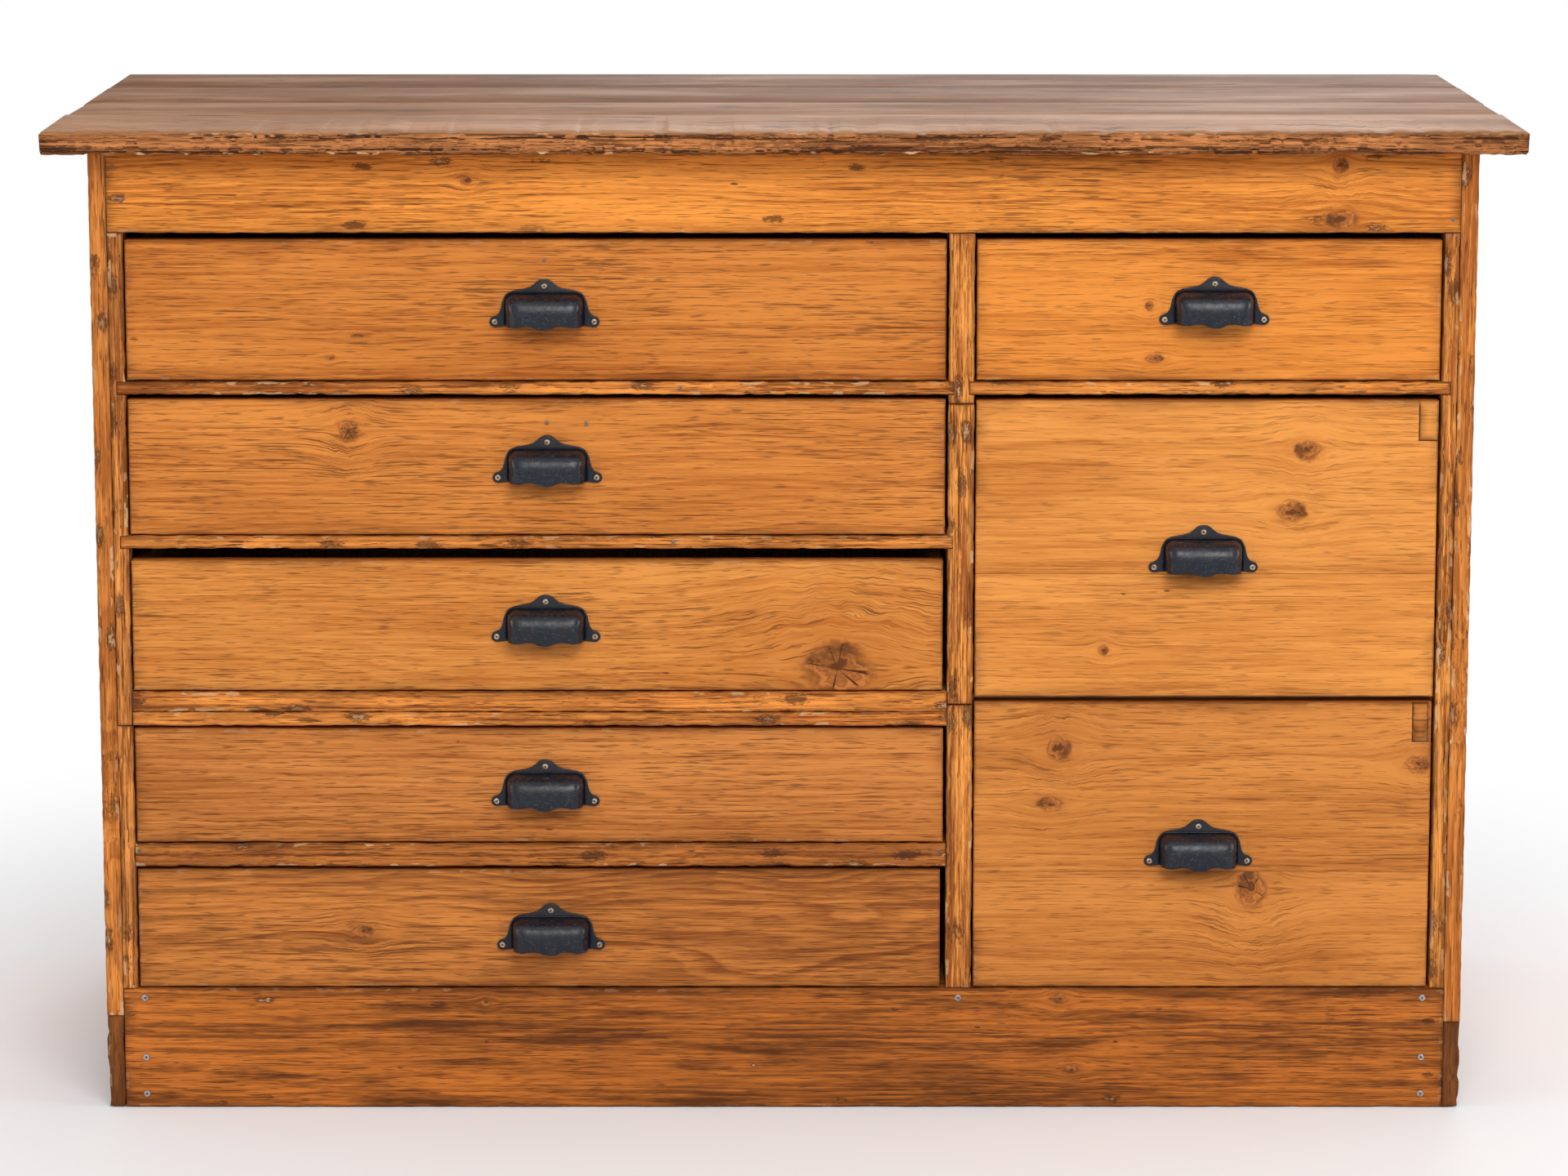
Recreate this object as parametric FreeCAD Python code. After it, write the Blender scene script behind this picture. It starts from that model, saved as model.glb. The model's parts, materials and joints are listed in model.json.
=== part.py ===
# Seed storage cabinet: a floor-standing pine counter with five shallow drawers in its left bay, and
# one shallow and two deep drawers in its right bay.
#
# Millimetres. X runs along the front, Y from the front to the back, Z up. The origin is on the floor,
# under the middle of the top. Every board, pull, screw and nail is a solid of its own.

import FreeCAD, Part
import os
from collections import namedtuple
from math import copysign, cos, pi, radians, sin

from FreeCAD import Vector

# ---------------------------------------------------------------- top
TOP_THICKNESS = 22.0
TOP_SIDE_OVERHANG = 39.0
TOP_FRONT_OVERHANG = 35.0
TOP_BACK_OVERHANG = 10.0
TOP_PLANK_WIDTHS = (160.0, 125.0, 165.0)
TOP_END_STEPS = (0.0, 2.5, 1.0, 2.0)
TOP_EDGE_RADIUS = 4.0
TOP_END_CHAMFER = 2.0

# ---------------------------------------------------------------- carcass
BODY_WIDTH = 1258.0
BODY_DEPTH = 565.0
LEFT_BAY_WIDTH = 749.0
SIDE_THICKNESS = 16.0
SIDE_PLANKS = 3
SIDE_STILE_WIDTH = 14.0
CENTRE_STILE_WIDTH = 24.0
STILE_DEPTH = 30.0
CENTRE_STILE_JOINTS = (383.0, 662.5)
TOP_RAIL_HEIGHT = 74.0
TOP_RAIL_THICKNESS = 20.0
PLINTH_HEIGHT = 114.0
PLINTH_THICKNESS = 20.0
LEFT_FOOT_HEIGHT = 88.0
RIGHT_FOOT_HEIGHT = 82.0
CORNER_BLOCK_SIZE = 40.0
BOTTOM_THICKNESS = 18.0
BOTTOM_PLANKS = 3
BOTTOM_HOUSING = 5.0
BACK_THICKNESS = 12.0
BACK_BOARDS = 9
BACK_LIP = 6.0
BACK_FLOOR_GAP = 20.0
TONGUE_THICKNESS = 4.0
TONGUE_LENGTH = 5.0

# ---------------------------------------------------------------- rails and runners
THIN_RAIL = 12.0
DOUBLE_RAIL_UPPER = 19.0
DOUBLE_RAIL_LOWER = 13.0
THICK_RAIL = 22.0
RAIL_DEPTH = 60.0
SIDE_HOUSING = 8.0
CENTRE_HOUSING = 5.0
HIDDEN_RAIL_CLEARANCE = 2.0
RUNNER_BEARING = 18.0
GUIDE_HEIGHT = 16.0
KICKER_THICKNESS = 12.0
STOP_DEPTH = 12.0
STOP_HEIGHT = 20.0

# ---------------------------------------------------------------- drawers
FRONT_THICKNESS = 20.0
FRONT_INSET = 1.0
FRONT_FLOOR_GAP = 1.2
LEFT_END_GAP = 1.5
FRONT_LAP = 5.0
SIDE_BOARD = 11.0
BACK_BOARD = 11.0
SIDE_DROP = 3.0
BOTTOM_PANEL = 9.0
GROOVE_WIDTH = 5.0
GROOVE_DEPTH = 5.0
GROOVE_HEIGHT = 7.0
BEVEL_WIDTH = 24.0
TAIL_PITCH = 50.0
TAIL_SHARE = 0.66
DOVETAIL_SLOPE = 1.0 / 7.0
PATCH_WIDTH = 18.0
PATCH_HEIGHT = 37.0
PATCH_DEPTH = 4.0

# ---------------------------------------------------------------- cup pulls, screws and nails
PULL_FLANGE = 2.0
PULL_EAR_SPACING = 90.0
PULL_EAR_RADIUS = 5.2
PULL_PEAK_HEIGHT = 32.5
PULL_PEAK_RADIUS = 6.5
SHOULDER_MARGIN = 3.6
SHOULDER_SAG = 0.9
CUP_WIDTH = 72.0
CUP_HEIGHT = 27.0
CUP_PROJECTION = 23.0
CUP_BROW_HEIGHT = 5.0
CUP_WALL = 2.2
LIP_DROP = 5.5
LIP_HALF_WIDTH = 13.0
SCREW_SHANK_RADIUS = 1.7
SCREW_LENGTH = 16.0
SCREW_HEAD_RADIUS = 3.0
SCREW_CROWN_RADIUS = 1.5
SCREW_HEAD_HEIGHT = 1.6
NAIL_SHANK_RADIUS = 1.3
NAIL_LENGTH = 45.0
NAIL_HEAD_RADIUS = 3.2
NAIL_HEAD_HEIGHT = 0.8
NAIL_PROUD = 0.3
NAIL_EDGE_DISTANCE = 13.0

# Shapes that keep their look when a size changes: shares of the way to an ear and of the cup's height,
# shares of the lip's half width and drop, angles on the rounds, and how square the cup is seen from
# the front and from its end.
SHOULDER_SHARE = 0.55
WAIST_SHARE = 0.88
WAIST_HEIGHT_SHARE = 0.75
LIP_SHARES = ((1.0, 0.0), (0.8, 0.1), (0.5, 0.5))
LOBE_ANGLES = (90, 65, 40)
EAR_ANGLES = (70, 0, -90)
CUP_END_ANGLES = (-80, -64, -45, -20, 20, 45, 64, 80)
CUP_BROW_ANGLES = (0, 22, 42, 62, 90)
CUP_SQUARENESS = 5.0
BROW_SQUARENESS = 2.5

# How finely the small metal pieces are faceted.
SMALL_ROUND_SIDES = 8
FACETS_PER_ARC = 3

# ---------------------------------------------------------------- fits
ARRIS = 1.2
SLIDE_GAP = 0.2
PLANK_GAP = 0.3
JOINT_GAP = 0.1
HOLE_GAP = 0.1
OVERCUT = 1.0

# ---------------------------------------------------------------- the drawers' places
# From the top drawer down: each opening's height, the gap over its front and at the front's right end,
# and how far its pull sits right of the bay's middle and below the front's.
LEFT_OPENINGS = (136.0, 130.5, 133.5, 111.0, 116.0)
LEFT_TOP_GAPS = (6.5, 4.7, 11.5, 3.0, 3.0)
LEFT_RIGHT_GAPS = (2.0, 2.5, 4.0, 3.0, 5.0)
LEFT_PULL_SHIFTS = (7.5, 9.0, 6.5, 5.0, 9.0)
LEFT_PULL_DROPS = (10.0, 9.0, 9.5, 14.0, 15.0)

# The lowest right drawer takes the height that the other two leave.
RIGHT_OPENINGS = (136.0, 282.0)
RIGHT_TOP_GAPS = (6.5, 5.5, 4.3)
RIGHT_RIGHT_GAPS = (2.0, 2.0, 2.5)
RIGHT_PULL_SHIFTS = (4.5, -2.5, -3.5)
RIGHT_PULL_DROPS = (8.0, 16.0, 14.0)

# A deep front is glued up from two boards, and its corner patch may be narrower than its seat.
LOWER_BOARD_HEIGHTS = (None, 115.0, 110.0)
PATCH_NOTCHES = (None, 0.0, 3.0)

# ---------------------------------------------------------------- worked out from the sizes above
LEFT_RAILS = ((THIN_RAIL,), (THIN_RAIL,), (DOUBLE_RAIL_UPPER, DOUBLE_RAIL_LOWER), (THICK_RAIL,), ())
RAIL_BOTTOM = PLINTH_HEIGHT + sum(LEFT_OPENINGS) + sum(map(sum, LEFT_RAILS))
CARCASS_HEIGHT = RAIL_BOTTOM + TOP_RAIL_HEIGHT

TOP_DEPTH = BODY_DEPTH + TOP_FRONT_OVERHANG + TOP_BACK_OVERHANG
FRONT = -TOP_DEPTH / 2 + TOP_FRONT_OVERHANG
REAR = FRONT + BODY_DEPTH
BACK_FACE = REAR - BACK_THICKNESS
RAIL_BACK = FRONT + RAIL_DEPTH
STILE_BACK = FRONT + STILE_DEPTH

BODY_SIDE = BODY_WIDTH / 2
PANEL_FACE = BODY_SIDE - SIDE_THICKNESS
BAY_EDGE = PANEL_FACE - SIDE_STILE_WIDTH
CENTRE_LEFT = -BAY_EDGE + LEFT_BAY_WIDTH
CENTRE_RIGHT = CENTRE_LEFT + CENTRE_STILE_WIDTH

SHALLOW_FLOOR = RAIL_BOTTOM - RIGHT_OPENINGS[0]
MIDDLE_FLOOR = SHALLOW_FLOOR - THIN_RAIL - RIGHT_OPENINGS[1]

DRAWER_FACE = FRONT + FRONT_INSET
DRAWER_SHOULDER = DRAWER_FACE + FRONT_THICKNESS
DRAWER_END = BACK_FACE - STOP_DEPTH
SCREW_BORE = SCREW_LENGTH - PULL_FLANGE + HOLE_GAP

Drawer = namedtuple("Drawer", "name bay floor opening clear_top top_gap right_gap shift drop "
                    "lower_board notch")


def box(x, y, z):
    """A block between pairs of limits along each axis."""
    corner = Vector(x[0], y[0], z[0])
    return Part.makeBox(x[1] - x[0], y[1] - y[0], z[1] - z[0], corner)


def prism(points, direction):
    """The outline through the points, pushed along a direction."""
    wire = Part.makePolygon([*points, points[0]])
    return Part.Face(wire).extrude(direction)


def stacked(rings):
    """The solid with flat sides that joins rings of corners, each like the next but for its size."""
    faces = [Part.Face(Part.makePolygon([*ring, ring[0]])) for ring in (rings[0], rings[-1])]
    for ring, following in zip(rings, rings[1:]):
        for i, corner in enumerate(ring):
            j = (i + 1) % len(ring)
            side = [corner, ring[j], following[j], following[i], corner]
            faces.append(Part.Face(Part.makePolygon(side)))
    solid = Part.Solid(Part.Shell(faces))
    if solid.Volume < 0:
        solid.reverse()
    return solid


def rod(x, z, start, stop, radius, tip_radius=None):
    """A small round piece along Y, with flat facets. It tapers if it is given a tip."""
    turns = [2 * pi * i / SMALL_ROUND_SIDES for i in range(SMALL_ROUND_SIDES)]
    ends = ((start, radius), (stop, tip_radius or radius))
    return stacked([[Vector(x + reach * cos(a), y, z + reach * sin(a)) for a in turns]
                    for y, reach in ends])


def faceted(*points):
    """The chords of an arc through three points, given as X and Z, on the plane Y = 0."""
    arc = Part.Arc(*(Vector(x, 0, z) for x, z in points)).toShape()
    return arc.discretize(Number=FACETS_PER_ARC + 1)


def rounded(solid, radius, wanted):
    """The solid with a fillet on each edge whose box passes the test."""
    return solid.makeFillet(radius, [e for e in solid.Edges if wanted(e.BoundBox)])


def eased(solid, width, wanted):
    """The solid with each sharp edge whose box passes the test planed off."""
    return solid.makeChamfer(width, [e for e in solid.Edges if wanted(e.BoundBox)])


def along(box_of_edge, axis):
    """True if an edge's box is a line along that axis, X, Y or Z."""
    lengths = {"X": box_of_edge.XLength, "Y": box_of_edge.YLength, "Z": box_of_edge.ZLength}
    return all((size > 1e-6) == (name == axis) for name, size in lengths.items())


def at(value, *places):
    """True if a coordinate is at one of the places."""
    return any(abs(value - place) < 1e-6 for place in places)


def cut_all(solid, *tools):
    """The solid less every tool."""
    for tool in tools:
        solid = solid.cut(tool)
    return solid.removeSplitter()


def planks(solid, axis, joints):
    """The solid sawn into boards at the joints, with a shrinkage gap at each."""
    limits = solid.BoundBox
    low = {"X": limits.XMin, "Y": limits.YMin, "Z": limits.ZMin}[axis]
    high = {"X": limits.XMax, "Y": limits.YMax, "Z": limits.ZMax}[axis]
    edges = [low - PLANK_GAP, *joints, high + PLANK_GAP]
    wide = {"X": (limits.XMin, limits.XMax), "Y": (limits.YMin, limits.YMax),
            "Z": (limits.ZMin, limits.ZMax)}
    boards = []
    for start, stop in zip(edges, edges[1:]):
        slab = dict(wide)
        slab[axis] = (start + PLANK_GAP / 2, stop - PLANK_GAP / 2)
        boards += solid.common(box(slab["X"], slab["Y"], slab["Z"])).Solids
    return boards


def shares(low, high, count):
    """The inner joints of a width shared out between so many boards."""
    return [low + (high - low) * i / count for i in range(1, count)]


# ---------------------------------------------------------------- carcass
def top_boards():
    """Long boards edge to edge, with worn round edges and ends that no longer line up."""
    half = BODY_SIDE + TOP_SIDE_OVERHANG
    front, rear = -TOP_DEPTH / 2, TOP_DEPTH / 2
    edges = [front]
    for width in TOP_PLANK_WIDTHS:
        edges.append(edges[-1] + width)
    edges.append(rear)
    boards = []
    for near, far, step in zip(edges, edges[1:], TOP_END_STEPS):
        reach = half - step
        depth = (near + (0 if near == front else PLANK_GAP), far)
        board = box((-reach, reach), depth, (CARCASS_HEIGHT, CARCASS_HEIGHT + TOP_THICKNESS))
        board = eased(board, TOP_END_CHAMFER, lambda b: along(b, "Y"))
        if near == front or far == rear:
            worn = front if near == front else rear
            board = rounded(board, TOP_EDGE_RADIUS,
                            lambda b: along(b, "X") and at(b.YMin, worn) and at(b.YMax, worn))
        boards.append(board)
    return boards


def back_rebate(side):
    """What is cut from the inner rear edge of a side, where the back boards lie."""
    inner = sorted((side * (PANEL_FACE - OVERCUT), side * (BODY_SIDE - BACK_LIP)))
    return box(inner, (BACK_FACE, REAR + OVERCUT), (BACK_FLOOR_GAP, CARCASS_HEIGHT + OVERCUT))


def foot_height(side):
    """How high the foot board stands on the left (-1) or right (1) side."""
    return LEFT_FOOT_HEIGHT if side < 0 else RIGHT_FOOT_HEIGHT


def side_panel(side):
    """Three upright boards, housed for the bottom and rebated for the back. Left is -1, right 1."""
    across = sorted((side * PANEL_FACE, side * BODY_SIDE))
    panel = box(across, (FRONT, REAR), (foot_height(side), CARCASS_HEIGHT))
    panel = eased(panel, ARRIS, lambda b: along(b, "Z") and at(b.YMin, FRONT, REAR)
                  and at(b.XMin, side * BODY_SIDE))
    housing_x = sorted((side * (PANEL_FACE - OVERCUT), side * (PANEL_FACE + BOTTOM_HOUSING)))
    housing = box(housing_x, (FRONT + PLINTH_THICKNESS, BACK_FACE),
                  (PLINTH_HEIGHT - BOTTOM_THICKNESS, PLINTH_HEIGHT))
    panel = cut_all(panel, housing, back_rebate(side))
    return planks(panel, "Y", shares(FRONT, REAR, SIDE_PLANKS))


def nail_places():
    """X and Z of the nails in the plinth: three at each end and one under the centre stile."""
    end = PANEL_FACE - CORNER_BLOCK_SIZE / 2
    upper = PLINTH_HEIGHT - BOTTOM_THICKNESS / 2
    middle = (PLINTH_HEIGHT - BOTTOM_THICKNESS) / 2
    ends = [(side * end, z) for side in (-1, 1) for z in (NAIL_EDGE_DISTANCE, middle, upper)]
    return [*ends, ((CENTRE_LEFT + CENTRE_RIGHT) / 2, upper)]


def nail(x, z):
    """A round wire nail, driven in from the front."""
    start = FRONT - NAIL_PROUD
    head = rod(x, z, start, start + NAIL_HEAD_HEIGHT, NAIL_HEAD_RADIUS)
    shank = rod(x, z, start, start + NAIL_LENGTH, NAIL_SHANK_RADIUS)
    return head.fuse(shank).removeSplitter()


def nail_holes():
    """The nails' holes, a hair wider than the nails."""
    start = FRONT - NAIL_PROUD
    holes = []
    for x, z in nail_places():
        holes.append(rod(x, z, start, start + NAIL_HEAD_HEIGHT, NAIL_HEAD_RADIUS + HOLE_GAP))
        holes.append(rod(x, z, start, start + NAIL_LENGTH + HOLE_GAP, NAIL_SHANK_RADIUS + HOLE_GAP))
    return holes


def foot_blocks():
    """A foot board under each side, and a block in each corner behind the plinth and the back."""
    solids = []
    size = CORNER_BLOCK_SIZE
    for side in (-1, 1):
        across = sorted((side * PANEL_FACE, side * BODY_SIDE))
        foot = box(across, (FRONT, REAR), (0, foot_height(side)))
        foot = eased(foot, ARRIS, lambda b: along(b, "Z") and at(b.XMin, side * BODY_SIDE))
        solids.append(cut_all(foot, back_rebate(side)))
        inner = sorted((side * (PANEL_FACE - size), side * PANEL_FACE))
        block_front = FRONT + PLINTH_THICKNESS
        for depth in ((block_front, block_front + size), (BACK_FACE - size, BACK_FACE)):
            block = box(inner, depth, (0, PLINTH_HEIGHT - BOTTOM_THICKNESS))
            solids.append(cut_all(block, *nail_holes()))
    return solids


def plinth_board():
    """The deep board along the foot of the front, between the two foot boards."""
    board = box((-PANEL_FACE, PANEL_FACE), (FRONT, FRONT + PLINTH_THICKNESS), (0, PLINTH_HEIGHT))
    board = eased(board, ARRIS, lambda b: along(b, "X") and at(b.YMin, FRONT))
    return [cut_all(board, *nail_holes())]


def top_rail():
    """The deep board over the drawers, between the sides."""
    board = box((-PANEL_FACE, PANEL_FACE), (FRONT, FRONT + TOP_RAIL_THICKNESS),
                (RAIL_BOTTOM, CARCASS_HEIGHT))
    return [eased(board, ARRIS, lambda b: along(b, "X") and at(b.YMin, FRONT)
                  and at(b.ZMin, RAIL_BOTTOM))]


def bottom_boards():
    """Three boards under the lowest drawers, housed in the sides behind the plinth."""
    reach = PANEL_FACE + BOTTOM_HOUSING - JOINT_GAP
    floor = box((-reach, reach), (FRONT + PLINTH_THICKNESS, BACK_FACE),
                (PLINTH_HEIGHT - BOTTOM_THICKNESS, PLINTH_HEIGHT))
    floor = cut_all(floor, *nail_holes())
    return planks(floor, "Y", shares(FRONT + PLINTH_THICKNESS, BACK_FACE, BOTTOM_PLANKS))


def back_board(left, right, is_first, is_last):
    """One upright board with a tongue on its right edge and a groove in its left edge."""
    mid = (BACK_FACE + REAR) / 2
    half = TONGUE_THICKNESS / 2
    face = [(left, REAR), (left, BACK_FACE), (right, BACK_FACE)]
    if not is_last:
        tip = right + TONGUE_LENGTH
        face += [(right, mid - half), (tip, mid - half), (tip, mid + half), (right, mid + half)]
    face += [(right, REAR)]
    outline = [Vector(x, y, BACK_FLOOR_GAP) for x, y in face]
    board = prism(outline, Vector(0, 0, CARCASS_HEIGHT - BACK_FLOOR_GAP))
    if is_first:
        return board
    groove = box((left - OVERCUT, left + TONGUE_LENGTH + JOINT_GAP),
                 (mid - half - JOINT_GAP, mid + half + JOINT_GAP),
                 (BACK_FLOOR_GAP - OVERCUT, CARCASS_HEIGHT + OVERCUT))
    return board.cut(groove)


def back_boards():
    """The tongued and grooved back, nailed into the rebates of the sides."""
    reach = BODY_SIDE - BACK_LIP - JOINT_GAP
    edges = [-reach, *shares(-reach, reach, BACK_BOARDS), reach]
    boards = []
    for i, (left, right) in enumerate(zip(edges, edges[1:])):
        is_first = i == 0
        is_last = i == BACK_BOARDS - 1
        boards.append(back_board(left + (0 if is_first else PLANK_GAP), right, is_first, is_last))
    return boards


# ---------------------------------------------------------------- rails, stiles and partition
def rail(left, right, floor, thickness, front=FRONT):
    """A rail whose top is level with the floor of the drawer over it."""
    board = box((left, right), (front, RAIL_BACK), (floor - thickness, floor))
    return eased(board, ARRIS, lambda b: along(b, "X") and at(b.YMin, front))


def left_floors():
    """The floor of each left opening, from the top down, with the rails under it."""
    floors = []
    level = RAIL_BOTTOM
    for opening, rails in zip(LEFT_OPENINGS, LEFT_RAILS):
        level -= opening
        floors.append((level, rails))
        level -= sum(rails)
    return floors


def left_rails():
    """The rails of the left bay. The thin ones are let into the stiles, the others butt between them."""
    made = {}
    for number, (floor, rails) in enumerate(left_floors(), start=1):
        names = [f"rail_left_{number}"]
        if len(rails) == 2:
            names = [f"rail_left_{number}_upper", f"rail_left_{number}_lower"]
        for name, thickness in zip(names, rails):
            is_housed = thickness == THIN_RAIL
            left = -BAY_EDGE - (SIDE_HOUSING if is_housed else 0)
            right = CENTRE_LEFT + (CENTRE_HOUSING if is_housed else 0)
            made[name] = [rail(left, right, floor, thickness)]
            floor -= thickness
    return made


def right_rails():
    """The rail under the shallow drawer, and one set back behind the two deep fronts."""
    hidden_front = DRAWER_SHOULDER + HIDDEN_RAIL_CLEARANCE
    return {
        "rail_right_1": [rail(CENTRE_RIGHT - CENTRE_HOUSING, BAY_EDGE + SIDE_HOUSING,
                              SHALLOW_FLOOR, THIN_RAIL)],
        "rail_right_2": [rail(CENTRE_RIGHT, BAY_EDGE, MIDDLE_FLOOR, THIN_RAIL, hidden_front)],
    }


def housings():
    """The notches that the thin rails fill, a hair larger than the rails."""
    levels = [(floor, -BAY_EDGE - SIDE_HOUSING, CENTRE_LEFT + CENTRE_HOUSING)
              for floor, rails in left_floors() if rails == (THIN_RAIL,)]
    levels.append((SHALLOW_FLOOR, CENTRE_RIGHT - CENTRE_HOUSING, BAY_EDGE + SIDE_HOUSING))
    return [box((left - JOINT_GAP, right + JOINT_GAP), (FRONT - OVERCUT, RAIL_BACK + JOINT_GAP),
                (floor - THIN_RAIL - JOINT_GAP, floor + JOINT_GAP))
            for floor, left, right in levels]


def stile(left, right, joints=()):
    """An upright strip between plinth and top rail, in one or more lengths."""
    strip = box((left, right), (FRONT, STILE_BACK), (PLINTH_HEIGHT, RAIL_BOTTOM))
    strip = eased(strip, ARRIS / 2, lambda b: along(b, "Z") and at(b.YMin, FRONT))
    return planks(cut_all(strip, *housings()), "Z", list(joints))


def side_stiles():
    """The strips inside the two side panels. The left one is pieced under the double rail."""
    floor, rails = left_floors()[2]
    left = stile(-PANEL_FACE, -BAY_EDGE, [floor - sum(rails)])
    return left + stile(BAY_EDGE, PANEL_FACE)


def centre_partition():
    """The upright board between the bays, behind the centre stile."""
    board = box((CENTRE_LEFT, CENTRE_RIGHT), (STILE_BACK, BACK_FACE), (PLINTH_HEIGHT, CARCASS_HEIGHT))
    return [cut_all(board, *housings())]


def bay_runners(inner, wall, drawers):
    """Runners, guides, stops and kickers of one bay. Each drawer is given as its floor's height and
    the runner's thickness, which is None where the bottom boards carry it. The inner edge is the
    partition's face and the wall is the side panel's."""
    toward = 1 if wall > inner else -1
    bay_edge = wall - toward * SIDE_STILE_WIDTH
    at_wall = sorted((bay_edge - toward * RUNNER_BEARING, wall))
    at_partition = sorted((inner, inner + toward * RUNNER_BEARING))
    guide = sorted((bay_edge, wall))
    stop_at_wall = sorted((bay_edge - toward * RUNNER_BEARING, bay_edge))
    solids = []
    for floor, thickness in drawers:
        guide_front = RAIL_BACK
        if thickness:
            for across in (at_wall, at_partition):
                solids.append(box(across, (RAIL_BACK, BACK_FACE), (floor - thickness, floor)))
        else:
            guide_front = STILE_BACK
        solids.append(box(guide, (guide_front, BACK_FACE), (floor, floor + GUIDE_HEIGHT)))
        for across in (stop_at_wall, at_partition):
            solids.append(box(across, (DRAWER_END, BACK_FACE), (floor, floor + STOP_HEIGHT)))
    for across in (at_wall, at_partition):
        solids.append(box(across, (FRONT + TOP_RAIL_THICKNESS, BACK_FACE),
                          (RAIL_BOTTOM, RAIL_BOTTOM + KICKER_THICKNESS)))
    return solids


def drawer_runners():
    """The runners of both bays."""
    left = [(floor, rails[0] if rails else None) for floor, rails in left_floors()]
    right = [(SHALLOW_FLOOR, THIN_RAIL), (MIDDLE_FLOOR, THIN_RAIL), (PLINTH_HEIGHT, None)]
    return (bay_runners(CENTRE_LEFT, -PANEL_FACE, left)
            + bay_runners(CENTRE_RIGHT, PANEL_FACE, right))


# ---------------------------------------------------------------- cup pull
def pull_screw_places():
    """X and Z of a pull's three screws, from the point midway between its ears."""
    half = PULL_EAR_SPACING / 2
    return [(-half, 0.0), (half, 0.0), (0.0, PULL_PEAK_HEIGHT)]


def on_round(centre_x, centre_z, radius, degrees):
    """X and Z of a point on a round, counted from +X towards +Z."""
    turn = radians(degrees)
    return centre_x + radius * cos(turn), centre_z + radius * sin(turn)


def flange():
    """The flat plate: a lobe over the top screw, sloping shoulders and two flared ears.

    Each run of the right half is an arc through a start, a middle and an end, and the left half
    mirrors it."""
    ear = PULL_EAR_SPACING / 2
    crown, lobe, neck = (on_round(0, PULL_PEAK_HEIGHT, PULL_PEAK_RADIUS, a) for a in LOBE_ANGLES)
    ear_top, ear_tip, ear_foot = (on_round(ear, 0, PULL_EAR_RADIUS, a) for a in EAR_ANGLES)
    shoulder = (SHOULDER_SHARE * ear, CUP_HEIGHT + SHOULDER_MARGIN)
    waist = (WAIST_SHARE * ear, WAIST_HEIGHT_SHARE * CUP_HEIGHT)
    slope = ((neck[0] + shoulder[0]) / 2, (neck[1] + shoulder[1]) / 2 - SHOULDER_SAG)
    bend = ((shoulder[0] + 2 * waist[0]) / 3, CUP_HEIGHT)
    flare = ((waist[0] + ear_top[0]) / 2 - SHOULDER_SAG, (waist[1] + ear_top[1]) / 2)
    runs = [(crown, lobe, neck), (neck, slope, shoulder), (shoulder, bend, waist),
            (waist, flare, ear_top), (ear_top, ear_tip, ear_foot)]
    right = [point for run in runs for point in faceted(*run)[:-1]]
    right.append(Vector(ear_foot[0], 0, ear_foot[1]))
    left = [Vector(-p.x, 0, p.z) for p in reversed(right[1:])]
    return prism([*right, *left], Vector(0, -PULL_FLANGE, 0))


def cup(inset, floor, back):
    """The bulging cup, made smaller by the inset all round, from the back plane out, and down to the
    floor. Its sections shrink towards its two ends."""
    half = CUP_WIDTH / 2 - inset
    reach = CUP_PROJECTION - inset
    rise = CUP_HEIGHT - inset - CUP_BROW_HEIGHT
    profile = [(back, CUP_HEIGHT - inset)] if back else []
    for degrees in CUP_BROW_ANGLES:
        out = sin(radians(degrees)) ** (2 / BROW_SQUARENESS)
        up = abs(cos(radians(degrees))) ** (2 / BROW_SQUARENESS)
        profile.append((-reach * out, CUP_BROW_HEIGHT + rise * up))
    profile += [(-reach, floor), (back, floor)]
    flattest = cos(radians(min(map(abs, CUP_END_ANGLES))))
    steepest = sin(radians(max(CUP_END_ANGLES)))
    sections = []
    for degrees in CUP_END_ANGLES:
        turn = radians(degrees)
        x = copysign(half * abs(sin(turn) / steepest) ** (2 / CUP_SQUARENESS), turn)
        share = (cos(turn) / flattest) ** (2 / CUP_SQUARENESS)
        sections.append([Vector(x, y * share, z * share) for y, z in profile])
    return stacked(sections)


def lip_waste(floor):
    """What is trimmed from the cup's underside, so that its lip dips to a point in the middle."""
    side = CUP_WIDTH / 2 + OVERCUT
    right = faceted(*((x * LIP_HALF_WIDTH, -z * LIP_DROP) for x, z in LIP_SHARES))
    left = [Vector(-p.x, 0, p.z) for p in reversed(right)]
    point = Vector(0, 0, -LIP_DROP)
    outside = [Vector(x, 0, z) for x, z in ((-side, 0), (-side, floor), (side, floor), (side, 0))]
    return prism([*right, point, *left, *outside], Vector(0, -CUP_PROJECTION - OVERCUT, 0))


def pull():
    """The cast cup pull, at the origin, with its back on the plane Y = 0."""
    floor = -LIP_DROP - OVERCUT
    body = flange().fuse(cup(0, floor, 0).cut(lip_waste(floor - OVERCUT)))
    hollow = cup(CUP_WALL, floor - OVERCUT, OVERCUT)
    holes = [rod(x, z, -PULL_FLANGE - OVERCUT, OVERCUT, SCREW_SHANK_RADIUS + HOLE_GAP)
             for x, z in pull_screw_places()]
    return max(cut_all(body, hollow, *holes).Solids, key=lambda s: s.Volume)


def pull_screw(x, z):
    """A round-headed wood screw through the flange and into the drawer front."""
    face = -PULL_FLANGE
    head = rod(x, z, face, face - SCREW_HEAD_HEIGHT, SCREW_HEAD_RADIUS, SCREW_CROWN_RADIUS)
    shank = rod(x, z, face, face + SCREW_LENGTH, SCREW_SHANK_RADIUS)
    return head.fuse(shank).removeSplitter()


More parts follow.
